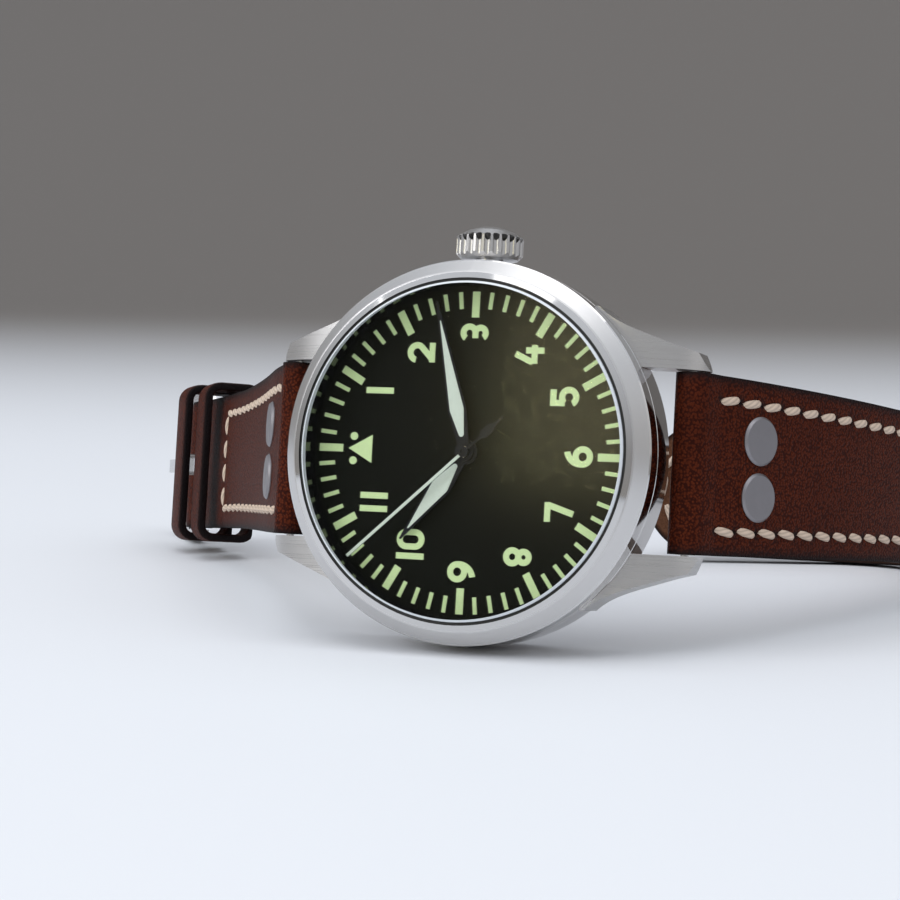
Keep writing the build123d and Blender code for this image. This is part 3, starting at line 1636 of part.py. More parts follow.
def half_strap_short():
    """The short half's outer leather."""
    return strap_top(short_run, short_slope, 1, short_length, True) - tongue_slot_cutter()


def half_lining_short():
    """The short half's inner leather."""
    return strap_lining(short_run, short_slope, 1, short_length, True)


def with_tail(body):
    """A layer of the long half, with its tip rounded and its holes punched."""
    for cutter in tail_cutters():
        body -= cutter
    return body


def strap_long_top():
    """The long half's outer leather."""
    return with_tail(strap_top(long_path, long_slope, -1, long_length, False))


def strap_long_lining():
    """The long half's inner leather."""
    return with_tail(strap_lining(long_path, long_slope, -1, long_length, False))


def rivets_short():
    """The short half's rivets with their washers."""
    return rivets(short_run, short_slope, 1) + rivet_washers(short_run, short_slope, 1)


def rivets_long():
    """The long half's rivets with their washers."""
    return rivets(long_path, long_slope, -1) + rivet_washers(long_path, long_slope, -1)


def fixed_keeper():
    """The keeper sewn behind the buckle, lying against the lining."""
    return keeper(fixed_keeper_place, seat_gap)


def loose_keeper():
    """The keeper that slides, hanging round the middle of the strap."""
    return keeper(loose_keeper_place, keeper_room / 2)


def hour_hand():
    """The hour hand's frame."""
    return framed_hand(*hour_shape, hour_boss, hour_pipe_radius + press_fit_gap, hour_hand_lift, hour_minutes)


def hour_hand_lume():
    """The hour hand's filling."""
    return hand_filling(*hour_shape, hour_hand_lift, hour_minutes)


def minute_hand():
    """The minute hand's frame."""
    return framed_hand(*minute_shape, minute_boss, cannon_radius + press_fit_gap, minute_level, shown_minutes)


def minute_hand_lume():
    """The minute hand's filling."""
    return hand_filling(*minute_shape, minute_level, shown_minutes)


def all_gaskets():
    """The seals of the glass, the back and the back's window."""
    return [crystal_gasket(), case_back_gasket(), back_window_gasket()]


def all_dial_marks():
    """Everything printed in raised luminous paint on the dial."""
    return dial_track() + dial_numerals() + dial_triangle()


def all_screws():
    """The screws of the bridges and the clamps."""
    return bridge_screws() + casing_screws()


def lug_spring_bars():
    """The two spring bars between the lugs."""
    span = lug_gap - 2 * spring_bar_end_gap
    bars = []
    for run, slope, side in ((short_run, short_slope, 1), (long_path, long_slope, -1)):
        bars.append(spring_bar(strap_frame(run, slope, 0, side), span))
    return bars


def buckle_spring_bar():
    """The spring bar of the buckle."""
    return spring_bar(buckle_frame(), strap_end_width + 2 * buckle_bar_gap - 2 * spring_bar_end_gap)


pieces = {
    "case_middle": case_middle,
    "bezel": bezel,
    "crystal": crystal,
    "rehaut_ring": rehaut,
    "case_back": case_back,
    "back_window": back_window,
    "case_gaskets": all_gaskets,
    "crown": crown,
    "crown_gasket": crown_seal,
    "crown_tube": crown_tube,
    "winding_stem": winding_stem,
    "winding_pinion": winding_pinion,
    "sliding_clutch": sliding_clutch,
    "crown_wheel": crown_wheel,
    "ratchet_wheel": ratchet_wheel,
    "click": click,
    "dial": dial,
    "dial_markings": all_dial_marks,
    "hour_hand": hour_hand,
    "hour_hand_lume": hour_hand_lume,
    "minute_hand": minute_hand,
    "minute_hand_lume": minute_hand_lume,
    "seconds_hand": seconds_hand,
    "seconds_hand_lume": seconds_lume,
    "cannon_pinion": cannon_pinion,
    "minute_wheel": minute_wheel,
    "hour_wheel": hour_wheel,
    "movement_ring": movement_ring,
    "casing_clamps": casing_clamps,
    "main_plate": main_plate,
    "barrel_bridge": barrel_bridge,
    "train_bridge": train_bridge,
    "balance_cock": balance_cock,
    "pallet_bridge": pallet_bridge,
    "movement_screws": all_screws,
    "jewels": jewels,
    "barrel": barrel,
    "barrel_arbor": barrel_arbor,
    "mainspring": mainspring,
    "centre_wheel": centre_wheel,
    "third_wheel": third_wheel,
    "fourth_wheel": fourth_wheel,
    "escape_wheel": escape_wheel,
    "pallet_fork": pallet_fork,
    "balance_wheel": balance_wheel,
    "hairspring": hairspring,
    "rotor_bearing": rotor_bearing,
    "rotor": rotor,
    "lug_spring_bars": lug_spring_bars,
    "strap_short": half_strap_short,
    "strap_short_lining": half_lining_short,
    "rivets_short": rivets_short,
    "fixed_keeper": fixed_keeper,
    "loose_keeper": loose_keeper,
    "buckle_spring_bar": buckle_spring_bar,
    "buckle": buckle,
    "buckle_tongue": buckle_tongue,
    "strap_long": strap_long_top,
    "strap_long_lining": strap_long_lining,
    "rivets_long": rivets_long,
}

stood = {}
for name, make in pieces.items():
    made = make()
    shapes = made if isinstance(made, list) else [made]
    stood[name] = [standing.location * solid for shape in shapes for solid in shape.solids()]

# The origin goes to the middle of the whole watch's footprint, on the floor
boxes = [solid.bounding_box() for solids in stood.values() for solid in solids]
low_x, high_x = min(box.min.X for box in boxes), max(box.max.X for box in boxes)
low_y, high_y = min(box.min.Y for box in boxes), max(box.max.Y for box in boxes)
low_z, high_z = min(box.min.Z for box in boxes), max(box.max.Z for box in boxes)
to_origin = Pos(-(low_x + high_x) / 2, -(low_y + high_y) / 2, -low_z)
for name, solids in stood.items():
    placed = [to_origin * solid for solid in solids]
    export_step(placed[0] if len(placed) == 1 else Compound(children=placed), f"parts/{name}.step")
    print(name, len(placed))
print("moved by", to_origin.position, "leaning back", math.degrees(lean))
print("size", high_x - low_x, high_y - low_y, high_z - low_z)
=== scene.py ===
import math

import bpy
from mathutils import Matrix, Vector


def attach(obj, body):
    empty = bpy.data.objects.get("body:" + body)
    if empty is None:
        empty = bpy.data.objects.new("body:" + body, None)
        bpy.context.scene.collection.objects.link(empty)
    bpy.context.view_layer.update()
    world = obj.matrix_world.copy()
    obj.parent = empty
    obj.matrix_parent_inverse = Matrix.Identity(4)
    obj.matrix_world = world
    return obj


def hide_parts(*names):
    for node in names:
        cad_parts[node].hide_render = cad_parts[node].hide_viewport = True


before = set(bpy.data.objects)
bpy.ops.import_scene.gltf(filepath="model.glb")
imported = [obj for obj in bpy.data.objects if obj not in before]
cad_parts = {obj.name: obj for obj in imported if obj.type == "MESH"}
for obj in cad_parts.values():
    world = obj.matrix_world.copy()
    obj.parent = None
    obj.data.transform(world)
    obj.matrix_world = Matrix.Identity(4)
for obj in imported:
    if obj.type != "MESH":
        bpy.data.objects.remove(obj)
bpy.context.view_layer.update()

bl_info = {
    "name": "Pilot Watch",
    "version": (1, 0, 0),
    "blender": (4, 5, 0),
    "location": "3D View > Sidebar > Watch",
    "description": "Dresses a steel pilot watch with its riveted leather strap, and sets up a plain studio",
    "category": "Add Mesh",
}

MM = 0.001

# How the watch stands: its dial's centre and how far it leans back, as the frame has them
DIAL_CENTRE = Vector((0.0150212, -0.037889, 0.0216376))
LEAN = math.radians(8.9943)
TO_ROW = Matrix((
    (0, -1, 0, DIAL_CENTRE.x),
    (math.sin(LEAN), 0, -math.cos(LEAN), DIAL_CENTRE.y),
    (math.cos(LEAN), 0, math.sin(LEAN), DIAL_CENTRE.z),
    (0, 0, 0, 1),
))

# The strap halves' middle lines from their spring bars: slope, then runs of (length in mm, turn in degrees)
STRAP_BAR = (23.25 * MM, -5.8 * MM)
TAIL_DROP = 14.732620  # straight run that brings the tail's fold down to the floor
STRAP_HALVES = {
    "short": {
        "side": 1,
        "slope": 55.0,
        "run": [(4.0, 0.0), (8.0, -5.0), (62.0, 10.0)],
        "body": "short_strap",
    },
    "long": {
        "side": -1,
        "slope": 58.0,
        "run": [(2.0, 0.0), (8.0, -5.0), (34.0, -14.28), (TAIL_DROP, 0.0), (32.87, -117.72), (25.0, 0.0)],
        "body": "long_strap",
    },
}

# The strap's half width at the lugs and on average, and what each side loses on its way behind the watch
LUG_HALF_WIDTH = 9.8 * MM
MEAN_HALF_WIDTH = 9.4 * MM
TAPER = 0.8 * MM
TAPER_DEPTH = 34.0 * MM
TAIL_TIP = 8.0 * MM
SHORT_SEAM_END = 52.0 * MM

# The strap's two leathers, their distance from the middle line, and the outer one's fold round a bar
OUTER_LEATHER = 1.4 * MM
OUTER_LEVEL = 0.6 * MM
FOLD_THICKNESS = 1.05 / 1.4
FOLD_RADIUS = 1.375 * MM
FOLD_TURN = 262
FOLD_STEPS = 24
FOLD_RUN = FOLD_RADIUS * math.radians(FOLD_TURN)
FOLD_EASE = 3.5 * MM
INNER_LEATHER = 1.16 * MM
INNER_LEVEL = -0.7 * MM
INNER_START = 2.0 * MM
LINE_STEP = 0.25 * MM
ROWS_PER_STITCH = 8
RIM_SHARE = 0.28
LEATHER_CREASE = math.radians(50)

# The tail's holes from its tip, and the notch for the buckle's tongue
HOLE_RADIUS = 0.95 * MM
FIRST_HOLE = 23.0 * MM
HOLE_PITCH = 6.5 * MM
HOLE_COUNT = 7
NOTCH_HALF_WIDTH = 1.58 * MM
NOTCH_LENGTH = 3.25 * MM

# How deep the bumps are: the fine and coarse ones of a finish, the leather's grain and the thread's twist
FINE = 0.01 * MM
COARSE = 0.02 * MM
GRAIN_DEPTH = 0.12 * MM
TWIST_DEPTH = 0.08 * MM
POLISHED = 0.07  # roughness of mirror-bright steel


# Sizes and colours that a user may change


class WatchSteel(bpy.types.PropertyGroup):
    """Colours of the case's steel."""

    brushed: bpy.props.FloatVectorProperty(
        name="Brushed steel", description="Colour of the brushed case",
        subtype="COLOR", default=(0.60, 0.59, 0.585),
    )
    polished: bpy.props.FloatVectorProperty(
        name="Polished steel", description="Colour of the polished bevels",
        subtype="COLOR", default=(0.66, 0.66, 0.665),
    )
    bezel_polish_edge: bpy.props.FloatProperty(
        name="Polished bevel", description="Radius inside which the bezel is polished",
        unit="LENGTH", default=19.4 * MM,
    )
    bezel_rim: bpy.props.FloatProperty(
        name="Polished rim", description="Radius outside which the bezel is polished",
        unit="LENGTH", default=20.86 * MM,
    )
    flank_radius: bpy.props.FloatProperty(
        name="Polished flank", description="Radius inside which the case is polished",
        unit="LENGTH", default=21.06 * MM,
    )
    rivet: bpy.props.FloatVectorProperty(
        name="Rivets", description="Colour of the blasted rivets",
        subtype="COLOR", default=(0.27, 0.26, 0.275),
    )


class WatchDial(bpy.types.PropertyGroup):
    """Colours of the dial and the hands."""

    face: bpy.props.FloatVectorProperty(
        name="Dial", description="Colour of the dial",
        subtype="COLOR", default=(0.0032, 0.0040, 0.0024),
    )
    marks: bpy.props.FloatVectorProperty(
        name="Luminous marks", description="Colour of the numerals and bars",
        subtype="COLOR", default=(0.60, 0.77, 0.385),
    )
    hand_fill: bpy.props.FloatVectorProperty(
        name="Hand filling", description="Colour of the hands' filling",
        subtype="COLOR", default=(0.60, 0.68, 0.58),
    )
    hand_frame: bpy.props.FloatVectorProperty(
        name="Hand frame", description="Colour of the hands' frames",
        subtype="COLOR", default=(0.0075, 0.0085, 0.013),
    )


class WatchStrap(bpy.types.PropertyGroup):
    """Sizes and colours of the strap."""

    leather: bpy.props.FloatVectorProperty(
        name="Leather", description="Colour of the outer leather",
        subtype="COLOR", default=(0.100, 0.0185, 0.0062),
    )
    leather_dark: bpy.props.FloatVectorProperty(
        name="Leather shade", description="Colour in the grain's valleys",
        subtype="COLOR", default=(0.030, 0.0054, 0.0028),
    )
    edge_paint: bpy.props.FloatVectorProperty(
        name="Edge paint", description="Colour of the painted edges",
        subtype="COLOR", default=(0.0085, 0.0065, 0.0070),
    )
    lining: bpy.props.FloatVectorProperty(
        name="Lining", description="Colour of the inner leather",
        subtype="COLOR", default=(0.14, 0.062, 0.034),
    )
    thread: bpy.props.FloatVectorProperty(
        name="Thread", description="Colour of the stitching",
        subtype="COLOR", default=(0.66, 0.52, 0.41),
    )
    stitch_pitch: bpy.props.FloatProperty(
        name="Stitch pitch", description="From one stitch to the next",
        unit="LENGTH", default=3.4 * MM,
    )
    stitch_inset: bpy.props.FloatProperty(
        name="Stitch inset", description="From the strap's edge to the stitching",
        unit="LENGTH", default=2.6 * MM,
    )
    stitch_start: bpy.props.FloatProperty(
        name="Stitch start", description="From the spring bar to the first stitch",
        unit="LENGTH", default=2.7 * MM,
    )
    thread_width: bpy.props.FloatProperty(
        name="Thread width", description="Width of the twisted thread",
        unit="LENGTH", default=0.92 * MM,
    )


class WatchStage(bpy.types.PropertyGroup):
    """The studio."""

    floor: bpy.props.FloatVectorProperty(
        name="Floor", description="Colour of the floor",
        subtype="COLOR", default=(0.80, 0.82, 0.86),
    )
    backdrop: bpy.props.FloatVectorProperty(
        name="Backdrop", description="Colour of the wall behind",
        subtype="COLOR", default=(0.235, 0.215, 0.20),
    )


# The strap's middle line, its width and its leathers' own lines


def limited(share):
    """A share kept between 0 and 1."""
    return min(1.0, max(0.0, share))


def strap_line(half, distance):
    """Place and heading on a half's middle line in its side view, so far from the spring bar."""
    x, y = STRAP_BAR
    heading = math.radians(-half["slope"])
    left = distance
    for length_mm, turn in half["run"]:
        length = length_mm * MM
        walked = min(length, left)
        bend = math.radians(turn) * walked / length
        chord = walked * math.sin(bend / 2) / (bend / 2) if abs(bend) > 1e-9 else walked
        x += chord * math.cos(heading + bend / 2)
        y += chord * math.sin(heading + bend / 2)
        heading += bend
        left -= walked
        if left <= 0:
            break
    return x + left * math.cos(heading), y + left * math.sin(heading), heading


def strap_length(half):
    """A half's length from its spring bar."""
    return sum(length for length, turn in half["run"]) * MM


def half_width(half, distance):
    """Half the strap's width, which narrows behind the watch."""
    level = strap_line(half, distance)[1]
    return LUG_HALF_WIDTH - TAPER * limited((STRAP_BAR[1] - level) / TAPER_DEPTH)


def stitch_rows(key, settings):
    """Where a half's two rows of stitches start and end, and how many stitches each has."""
    end = SHORT_SEAM_END if key == "short" else strap_length(STRAP_HALVES[key]) - TAIL_TIP
    return settings.stitch_start, end, round((end - settings.stitch_start) / settings.stitch_pitch)


def side_to_row(half, out, level, across):
    """A point of the side view in the row frame."""
    return TO_ROW @ Vector((across, half["side"] * out, level))


def leather_line(half, layer):
    """Points of a layer's middle line in the side view, with its folds round the bars."""
    length = strap_length(half)
    folded_twice = half["side"] > 0

    def offset_point(distance, offset):
        x, y, heading = strap_line(half, distance)
        return x - offset * math.sin(heading), y + offset * math.cos(heading)

    def fold(distance, first_angle, steps):
        x, y, heading = strap_line(half, distance)
        angles = [heading + math.radians(first_angle - FOLD_TURN * step / FOLD_STEPS) for step in steps]
        return [(x + FOLD_RADIUS * math.cos(angle), y + FOLD_RADIUS * math.sin(angle)) for angle in angles]

    def height(distance):
        share = limited((min(distance, length - distance) if folded_twice else distance) / FOLD_EASE)
        return FOLD_RADIUS + (OUTER_LEVEL - FOLD_RADIUS) * share * share * (3 - 2 * share)

    if layer == "lining":
        run = length - INNER_START - (INNER_START if folded_twice else 0)
        count = int(run / LINE_STEP)
        return [offset_point(INNER_START + run * i / count, INNER_LEVEL) for i in range(count + 1)]
    count = int(length / LINE_STEP)
    points = fold(0, FOLD_TURN - 270, range(FOLD_STEPS))
    points += [offset_point(length * i / count, height(length * i / count)) for i in range(count + 1)]
    return points + (fold(length, 90, range(1, FOLD_STEPS + 1)) if folded_twice else [])


def line_table(points):
    """Running length, place and heading along a side-view line."""
    table = []
    walked = 0.0
    for index, (x, y) in enumerate(points):
        before = points[max(index - 1, 0)]
        after = points[min(index + 1, len(points) - 1)]
        walked += math.hypot(x - before[0], y - before[1])
        table.append((walked, x, y, math.atan2(after[1] - before[1], after[0] - before[0])))
    return table


def on_line(table, walked):
    """Place and heading on a tabled line, run on straight past its ends."""
    low, high = 0, len(table) - 1
    while high - low > 1:
        middle = (low + high) // 2
        if table[middle][0] <= walked:
            low = middle
        else:
            high = middle
    first, last = table[low], table[high]
    share = (walked - first[0]) / (last[0] - first[0])
    turn = (last[3] - first[3] + math.pi) % (2 * math.pi) - math.pi
    heading = first[3] + turn * limited(share)
    return first[1] + (last[1] - first[1]) * share, first[2] + (last[2] - first[2]) * share, heading


def lay_on_strap(obj, half, line_at):
    """Bends a piece drawn flat, X along the strap and Z out of it, on to a line in the side view."""
    for vertex in obj.data.vertices:
        along, across, height = vertex.co
        x, y, heading = line_at(along)
        x -= height * math.sin(heading)
        y += height * math.cos(heading)
        vertex.co = side_to_row(half, x, y, across)
    if half["side"] > 0:
        edit(obj, bpy.ops.mesh.flip_normals)


# Small modelling helpers


def select_only(*objects):
    """Selects these objects and nothing else."""
    bpy.ops.object.select_all(action="DESELECT")
    for obj in objects:
        obj.select_set(True)
    bpy.context.view_layer.objects.active = objects[0]


def edit(obj, operator, select="SELECT", **arguments):
    """Runs a mesh operator on all of a piece or, with no select, on what is already picked in it."""
    select_only(obj)
    bpy.ops.object.mode_set(mode="EDIT")
    if select:
        bpy.ops.mesh.select_all(action=select)
    operator(**arguments)
    bpy.ops.object.mode_set(mode="OBJECT")


def pick(obj, kind, chosen):
    """Picks the faces or edges of a piece that pass a test."""
    edit(obj, bpy.ops.mesh.select_mode, "DESELECT", type=kind)
    for element in obj.data.polygons if kind == "FACE" else obj.data.edges:
        element.select = chosen(element)


def named(obj, name):
    """Gives a piece and its mesh their name."""
    obj.name = name
    obj.data.name = name
    return obj


def primitive(operator, name="cutter", **arguments):
    """Adds a mesh primitive and names it."""
    bpy.ops.object.select_all(action="DESELECT")
    operator(**arguments)
    return named(bpy.context.active_object, name)


def apply_all(obj):
    """Applies a piece's modifiers."""
    select_only(obj)
    for modifier in list(obj.modifiers):
        bpy.ops.object.modifier_apply(modifier=modifier.name)


def settle(obj):
    """Puts a piece's place into its mesh."""
    select_only(obj)
    bpy.ops.object.transform_apply()


def joined(objects):
    """Joins pieces into one and settles it."""
    select_only(*objects)
    bpy.ops.object.join()
    settle(bpy.context.active_object)
    return bpy.context.active_object


def round_off(obj, width, segments, angle):
    """Bevels the edges that are sharper than an angle."""
    bevel = obj.modifiers.new("Rims", "BEVEL")
    bevel.width = width
    bevel.segments = segments
    bevel.limit_method = "ANGLE"
    bevel.angle_limit = math.radians(angle)
    apply_all(obj)


def remove(obj):
    """Deletes a helper piece."""
    select_only(obj)
    bpy.ops.object.delete()


def dress(material, *nodes):
    """Gives CAD nodes' objects one material."""
    for node in nodes:
        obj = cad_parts[node]
        obj.data.materials.clear()
        obj.data.materials.append(material)


# Shader helpers


def feed(tree, node, inputs):
    """Sets a node's inputs, and links one that is given as (node, output)."""
    for key, value in inputs.items():
        if isinstance(value, tuple) and isinstance(value[0], bpy.types.Node):
            tree.links.new(value[0].outputs[value[1]], node.inputs[key])
        else:
            node.inputs[key].default_value = value


def add_node(tree, kind, *entries, **values):
    """A node with its settings, and its inputs in their order or by name."""
    node = tree.nodes.new(kind)
    inputs = dict(enumerate(entries))
    for key, value in values.items():
        if key in node.inputs:
            inputs[key] = value
        else:
            setattr(node, key, value)
    feed(tree, node, inputs)
    return node


def calculate(tree, operation, *entries):
    """The value of a sum, a product or a comparison."""
    return add_node(tree, "ShaderNodeMath", *entries, operation=operation), "Value"


def vector_sum(tree, operation, *entries, output="Vector", **values):
    """The vector or value of an operation on vectors."""
    return add_node(tree, "ShaderNodeVectorMath", *entries, operation=operation, **values), output


def ramp(tree, source, *stops):
    """A value turned into greys or colours by (place, grey or colour) pairs."""
    node = add_node(tree, "ShaderNodeValToRGB", source)
    for index, (place, value) in enumerate(stops):
        colour = (value, value, value, 1.0) if isinstance(value, float) else (*value, 1.0)
        element = node.color_ramp.elements[index] if index < 2 else node.color_ramp.elements.new(place)
        element.position = place
        element.color = colour
    return node, "Color"


def mixed(tree, kind, factor, first, second):
    """Two colours (RGBA) or two numbers (FLOAT) mixed by a factor."""
    node = add_node(tree, "ShaderNodeMix", data_type=kind, Factor=factor)
    entry, output = (6, 2) if kind == "RGBA" else (2, 0)
    feed(tree, node, {entry: first, entry + 1: second})
    return node, output


def noise(tree, vector, **values):
    """The value of a noise at a vector."""
    return add_node(tree, "ShaderNodeTexNoise", Vector=vector, **values), "Fac"


def object_noise(tree, **values):
    """The value of a noise at a piece's own Object coordinates."""
    return noise(tree, (tree.nodes.new("ShaderNodeTexCoord"), "Object"), **values)


def bump(tree, shader, height, strength, distance):
    """Feeds a height into a material's normal."""
    node = add_node(tree, "ShaderNodeBump", Strength=strength, Distance=distance, Height=height)
    feed(tree, shader, {"Normal": (node, "Normal")})


def new_material(name, colour, roughness=0.5, metallic=0.0, **values):
    """A Principled material with plain values, and its nodes."""
    material = bpy.data.materials.new(name)
    material.use_nodes = True
    tree = material.node_tree
    shader = tree.nodes["Principled BSDF"]
    plain = {"Base Color": (*colour, 1.0), "Roughness": roughness, "Metallic": metallic}
    feed(tree, shader, plain | {key.replace("_", " "): value for key, value in values.items()})
    return material, tree, shader


def group_with(name, inputs, outputs):
    """A shader node group with its sockets."""
    group = bpy.data.node_groups.new(name, "ShaderNodeTree")
    for label, kind, default in inputs:
        socket = group.interface.new_socket(label, in_out="INPUT", socket_type=f"NodeSocket{kind}")
        if default is not None:
            socket.default_value = default
    for label, kind in outputs:
        group.interface.new_socket(label, in_out="OUTPUT", socket_type=f"NodeSocket{kind}")
    return group, group.nodes.new("NodeGroupInput"), group.nodes.new("NodeGroupOutput")


def shared_group(tree, name, build, **inputs):
    """An instance of a shared node group, which is built the first time."""
    group = bpy.data.node_groups.get(name) or build(name)
    node = add_node(tree, "ShaderNodeGroup", node_tree=group)
    feed(tree, node, inputs)
    return node


# Materials


def brushing_group(name):
    """Fine lines along a vector's Y: roughness that changes from line to line, and their height."""
    coarse = 70.0
    inputs = (
        ("Vector", "Vector", None),
        ("Lines", "Float", 16000.0),
        ("Depth lines", "Float", coarse),
        ("Roughness", "Float", 0.32),
        ("Spread", "Float", 0.10),
    )
    group, entry, end = group_with(name, inputs, (("Roughness", "Float"), ("Height", "Float")))
    lines = add_node(group, "ShaderNodeCombineXYZ", (entry, "Lines"), coarse, (entry, "Depth lines"))
    stretched = vector_sum(group, "MULTIPLY", (entry, "Vector"), (lines, "Vector"))
    streaks = noise(group, stretched, Scale=1.0, Detail=2.0, Roughness=0.6)
    middle, spread = (entry, "Roughness"), (entry, "Spread")
    low, high = (calculate(group, operation, middle, spread) for operation in ("SUBTRACT", "ADD"))
    span = add_node(group, "ShaderNodeMapRange", streaks, **{"To Min": low, "To Max": high})
    feed(group, end, {"Roughness": (span, "Result"), "Height": streaks})
    return group


def grain_group(name):
    """Pebbled leather: colour between two shades, roughness, and the grain's height."""
    inputs = (
        ("Vector", "Vector", None),
        ("Light", "Color", (0.2, 0.1, 0.05, 1.0)),
        ("Dark", "Color", (0.05, 0.02, 0.01, 1.0)),
        ("Grain", "Float", 3500.0),
        ("Roughness", "Float", 0.42),
    )
    outputs = (("Color", "Color"), ("Roughness", "Float"), ("Height", "Float"))
    group, entry, end = group_with(name, inputs, outputs)
    place, crease_height, crease_gloss = (entry, "Vector"), 0.35, 0.22
    warp = add_node(group, "ShaderNodeTexNoise", Vector=place, Scale=950.0, Detail=2.0)
    push = vector_sum(group, "SCALE", (warp, "Color"), Scale=0.34 * MM)
    pebbles = add_node(
        group, "ShaderNodeTexVoronoi", feature="SMOOTH_F1", Smoothness=0.6,
        Vector=vector_sum(group, "ADD", place, push), Scale=(entry, "Grain"),
    )
    creases = noise(group, place, Scale=3400.0, Detail=4.0, Roughness=0.6)
    cloud = noise(group, place, Scale=95.0, Detail=3.0)
    valleys = ramp(group, (pebbles, "Distance"), (0.22, 0.0), (0.62, 1.0))
    patches = ramp(group, cloud, (0.40, 0.0), (0.75, 0.6))
    shade = calculate(group, "MAXIMUM", valleys, patches)
    fine_height = calculate(group, "MULTIPLY", creases, crease_height)
    feed(group, end, {
        "Color": mixed(group, "RGBA", shade, (entry, "Light"), (entry, "Dark")),
        "Roughness": calculate(group, "MULTIPLY_ADD", creases, crease_gloss, (entry, "Roughness")),
        "Height": calculate(group, "MULTIPLY_ADD", (pebbles, "Distance"), -1.0, fine_height),
    })
    return group


def dial_coordinates(tree):
    """Object coordinates turned so that X runs to 3 o'clock, Y to 12 and Z out of the dial."""
    place = tree.nodes.new("ShaderNodeTexCoord")
    shifted = vector_sum(tree, "SUBTRACT", (place, "Object"), DIAL_CENTRE)
    axes = ((0, math.sin(LEAN), math.cos(LEAN)), (-1, 0, 0), (0, -math.cos(LEAN), math.sin(LEAN)))
    parts = [vector_sum(tree, "DOT_PRODUCT", shifted, Vector(axis), output="Value") for axis in axes]
    return add_node(tree, "ShaderNodeCombineXYZ", *parts), "Vector"


def radius_and_level(tree, flat):
    """Radius from the dial's axis, and a vector with it as X and the level as Z, for turned brushing."""
    split = add_node(tree, "ShaderNodeSeparateXYZ", flat)
    plan = add_node(tree, "ShaderNodeCombineXYZ", (split, "X"), (split, "Y"))
    radius = vector_sum(tree, "LENGTH", (plan, "Vector"), output="Value")
    return radius, (add_node(tree, "ShaderNodeCombineXYZ", X=radius, Z=(split, "Z")), "Vector")


def brushed_steel(name, colour, roughness, lines, strength, turned=False, mirror=None):
    """Steel brushed round the dial's axis or along the strap's line, and polished where a mask is 1."""
    material, tree, shader = new_material(name, colour, roughness, 1.0)
    flat = dial_coordinates(tree)
    radius, around = radius_and_level(tree, flat)
    inputs = {"Vector": around if turned else flat, "Lines": lines, "Roughness": roughness}
    if turned:
        inputs["Depth lines"] = lines
    brushing = shared_group(tree, "Steel brushing", brushing_group, **inputs)
    finish, height = (brushing, "Roughness"), (brushing, "Height")
    if mirror:
        mask = mirror(tree, radius)
        finish = mixed(tree, "FLOAT", mask, finish, POLISHED)
        height = calculate(tree, "MULTIPLY", height, calculate(tree, "SUBTRACT", 1.0, mask))
    feed(tree, shader, {"Roughness": finish})
    bump(tree, shader, height, strength, FINE)
    return material


def patterned_steel(name, colour, roughness, pattern, pitch):
    """Steel finished in overlapping pearls or in straight stripes, so far apart."""
    material, tree, shader = new_material(name, colour, roughness, 1.0)
    flat = dial_coordinates(tree)
    rings, slope = 40.0, math.radians(35)
    if pattern == "pearls":
        cells = add_node(
            tree, "ShaderNodeTexVoronoi", voronoi_dimensions="2D",
            Vector=flat, Scale=1 / pitch, Randomness=0.12,
        )
        phase = calculate(tree, "MULTIPLY", (cells, "Distance"), rings)
    else:
        across = Vector((math.cos(slope), math.sin(slope), 0.0))
        slant = vector_sum(tree, "DOT_PRODUCT", flat, across, output="Value")
        phase = calculate(tree, "MULTIPLY", slant, 2 * math.pi / pitch)
    wave = calculate(tree, "SINE", phase)
    limits = {"From Min": -1.0, "To Min": roughness - 0.10, "To Max": roughness + 0.14}
    feed(tree, shader, {"Roughness": (add_node(tree, "ShaderNodeMapRange", wave, **limits), "Result")})
    bump(tree, shader, wave, 0.25, COARSE)
    return material


def leather_material(name, light, dark, edge, roughness=0.46):
    """Grained leather whose sides, by the piece's own map, are painted dark; the same map also holds the
    painted shade round the strap's needle holes.
    """
    material, tree, shader = new_material(name, light, roughness, Specular_IOR_Level=0.045)
    grain = shared_group(
        tree, "Leather grain", grain_group,
        Light=(*light, 1.0), Dark=(*dark, 1.0), Roughness=roughness - 0.1,
        Vector=(tree.nodes.new("ShaderNodeTexCoord"), "Object"),
    )
    # the edge map darkens the painted edges and paints shade round the needle holes
    paint = add_node(tree, "ShaderNodeAttribute", attribute_name="edge")
    colour = mixed(tree, "RGBA", (paint, "Fac"), (grain, "Color"), (*edge, 1.0))
    feed(tree, shader, {"Base Color": colour, "Roughness": (grain, "Roughness")})
    bump(tree, shader, (grain, "Height"), 0.7, GRAIN_DEPTH)
    return material


def strap_leathers(settings):
    """The strap's materials, made once."""
    if "strap leather" not in bpy.data.materials:
        shade = tuple(channel * 0.7 for channel in settings.lining)
        leather_material("strap leather", settings.leather, settings.leather_dark, settings.edge_paint)
        leather_material("strap lining", settings.lining, shade, settings.edge_paint, 0.55)
    return bpy.data.materials["strap leather"], bpy.data.materials["strap lining"]


# Operators, one for each piece or group of like pieces


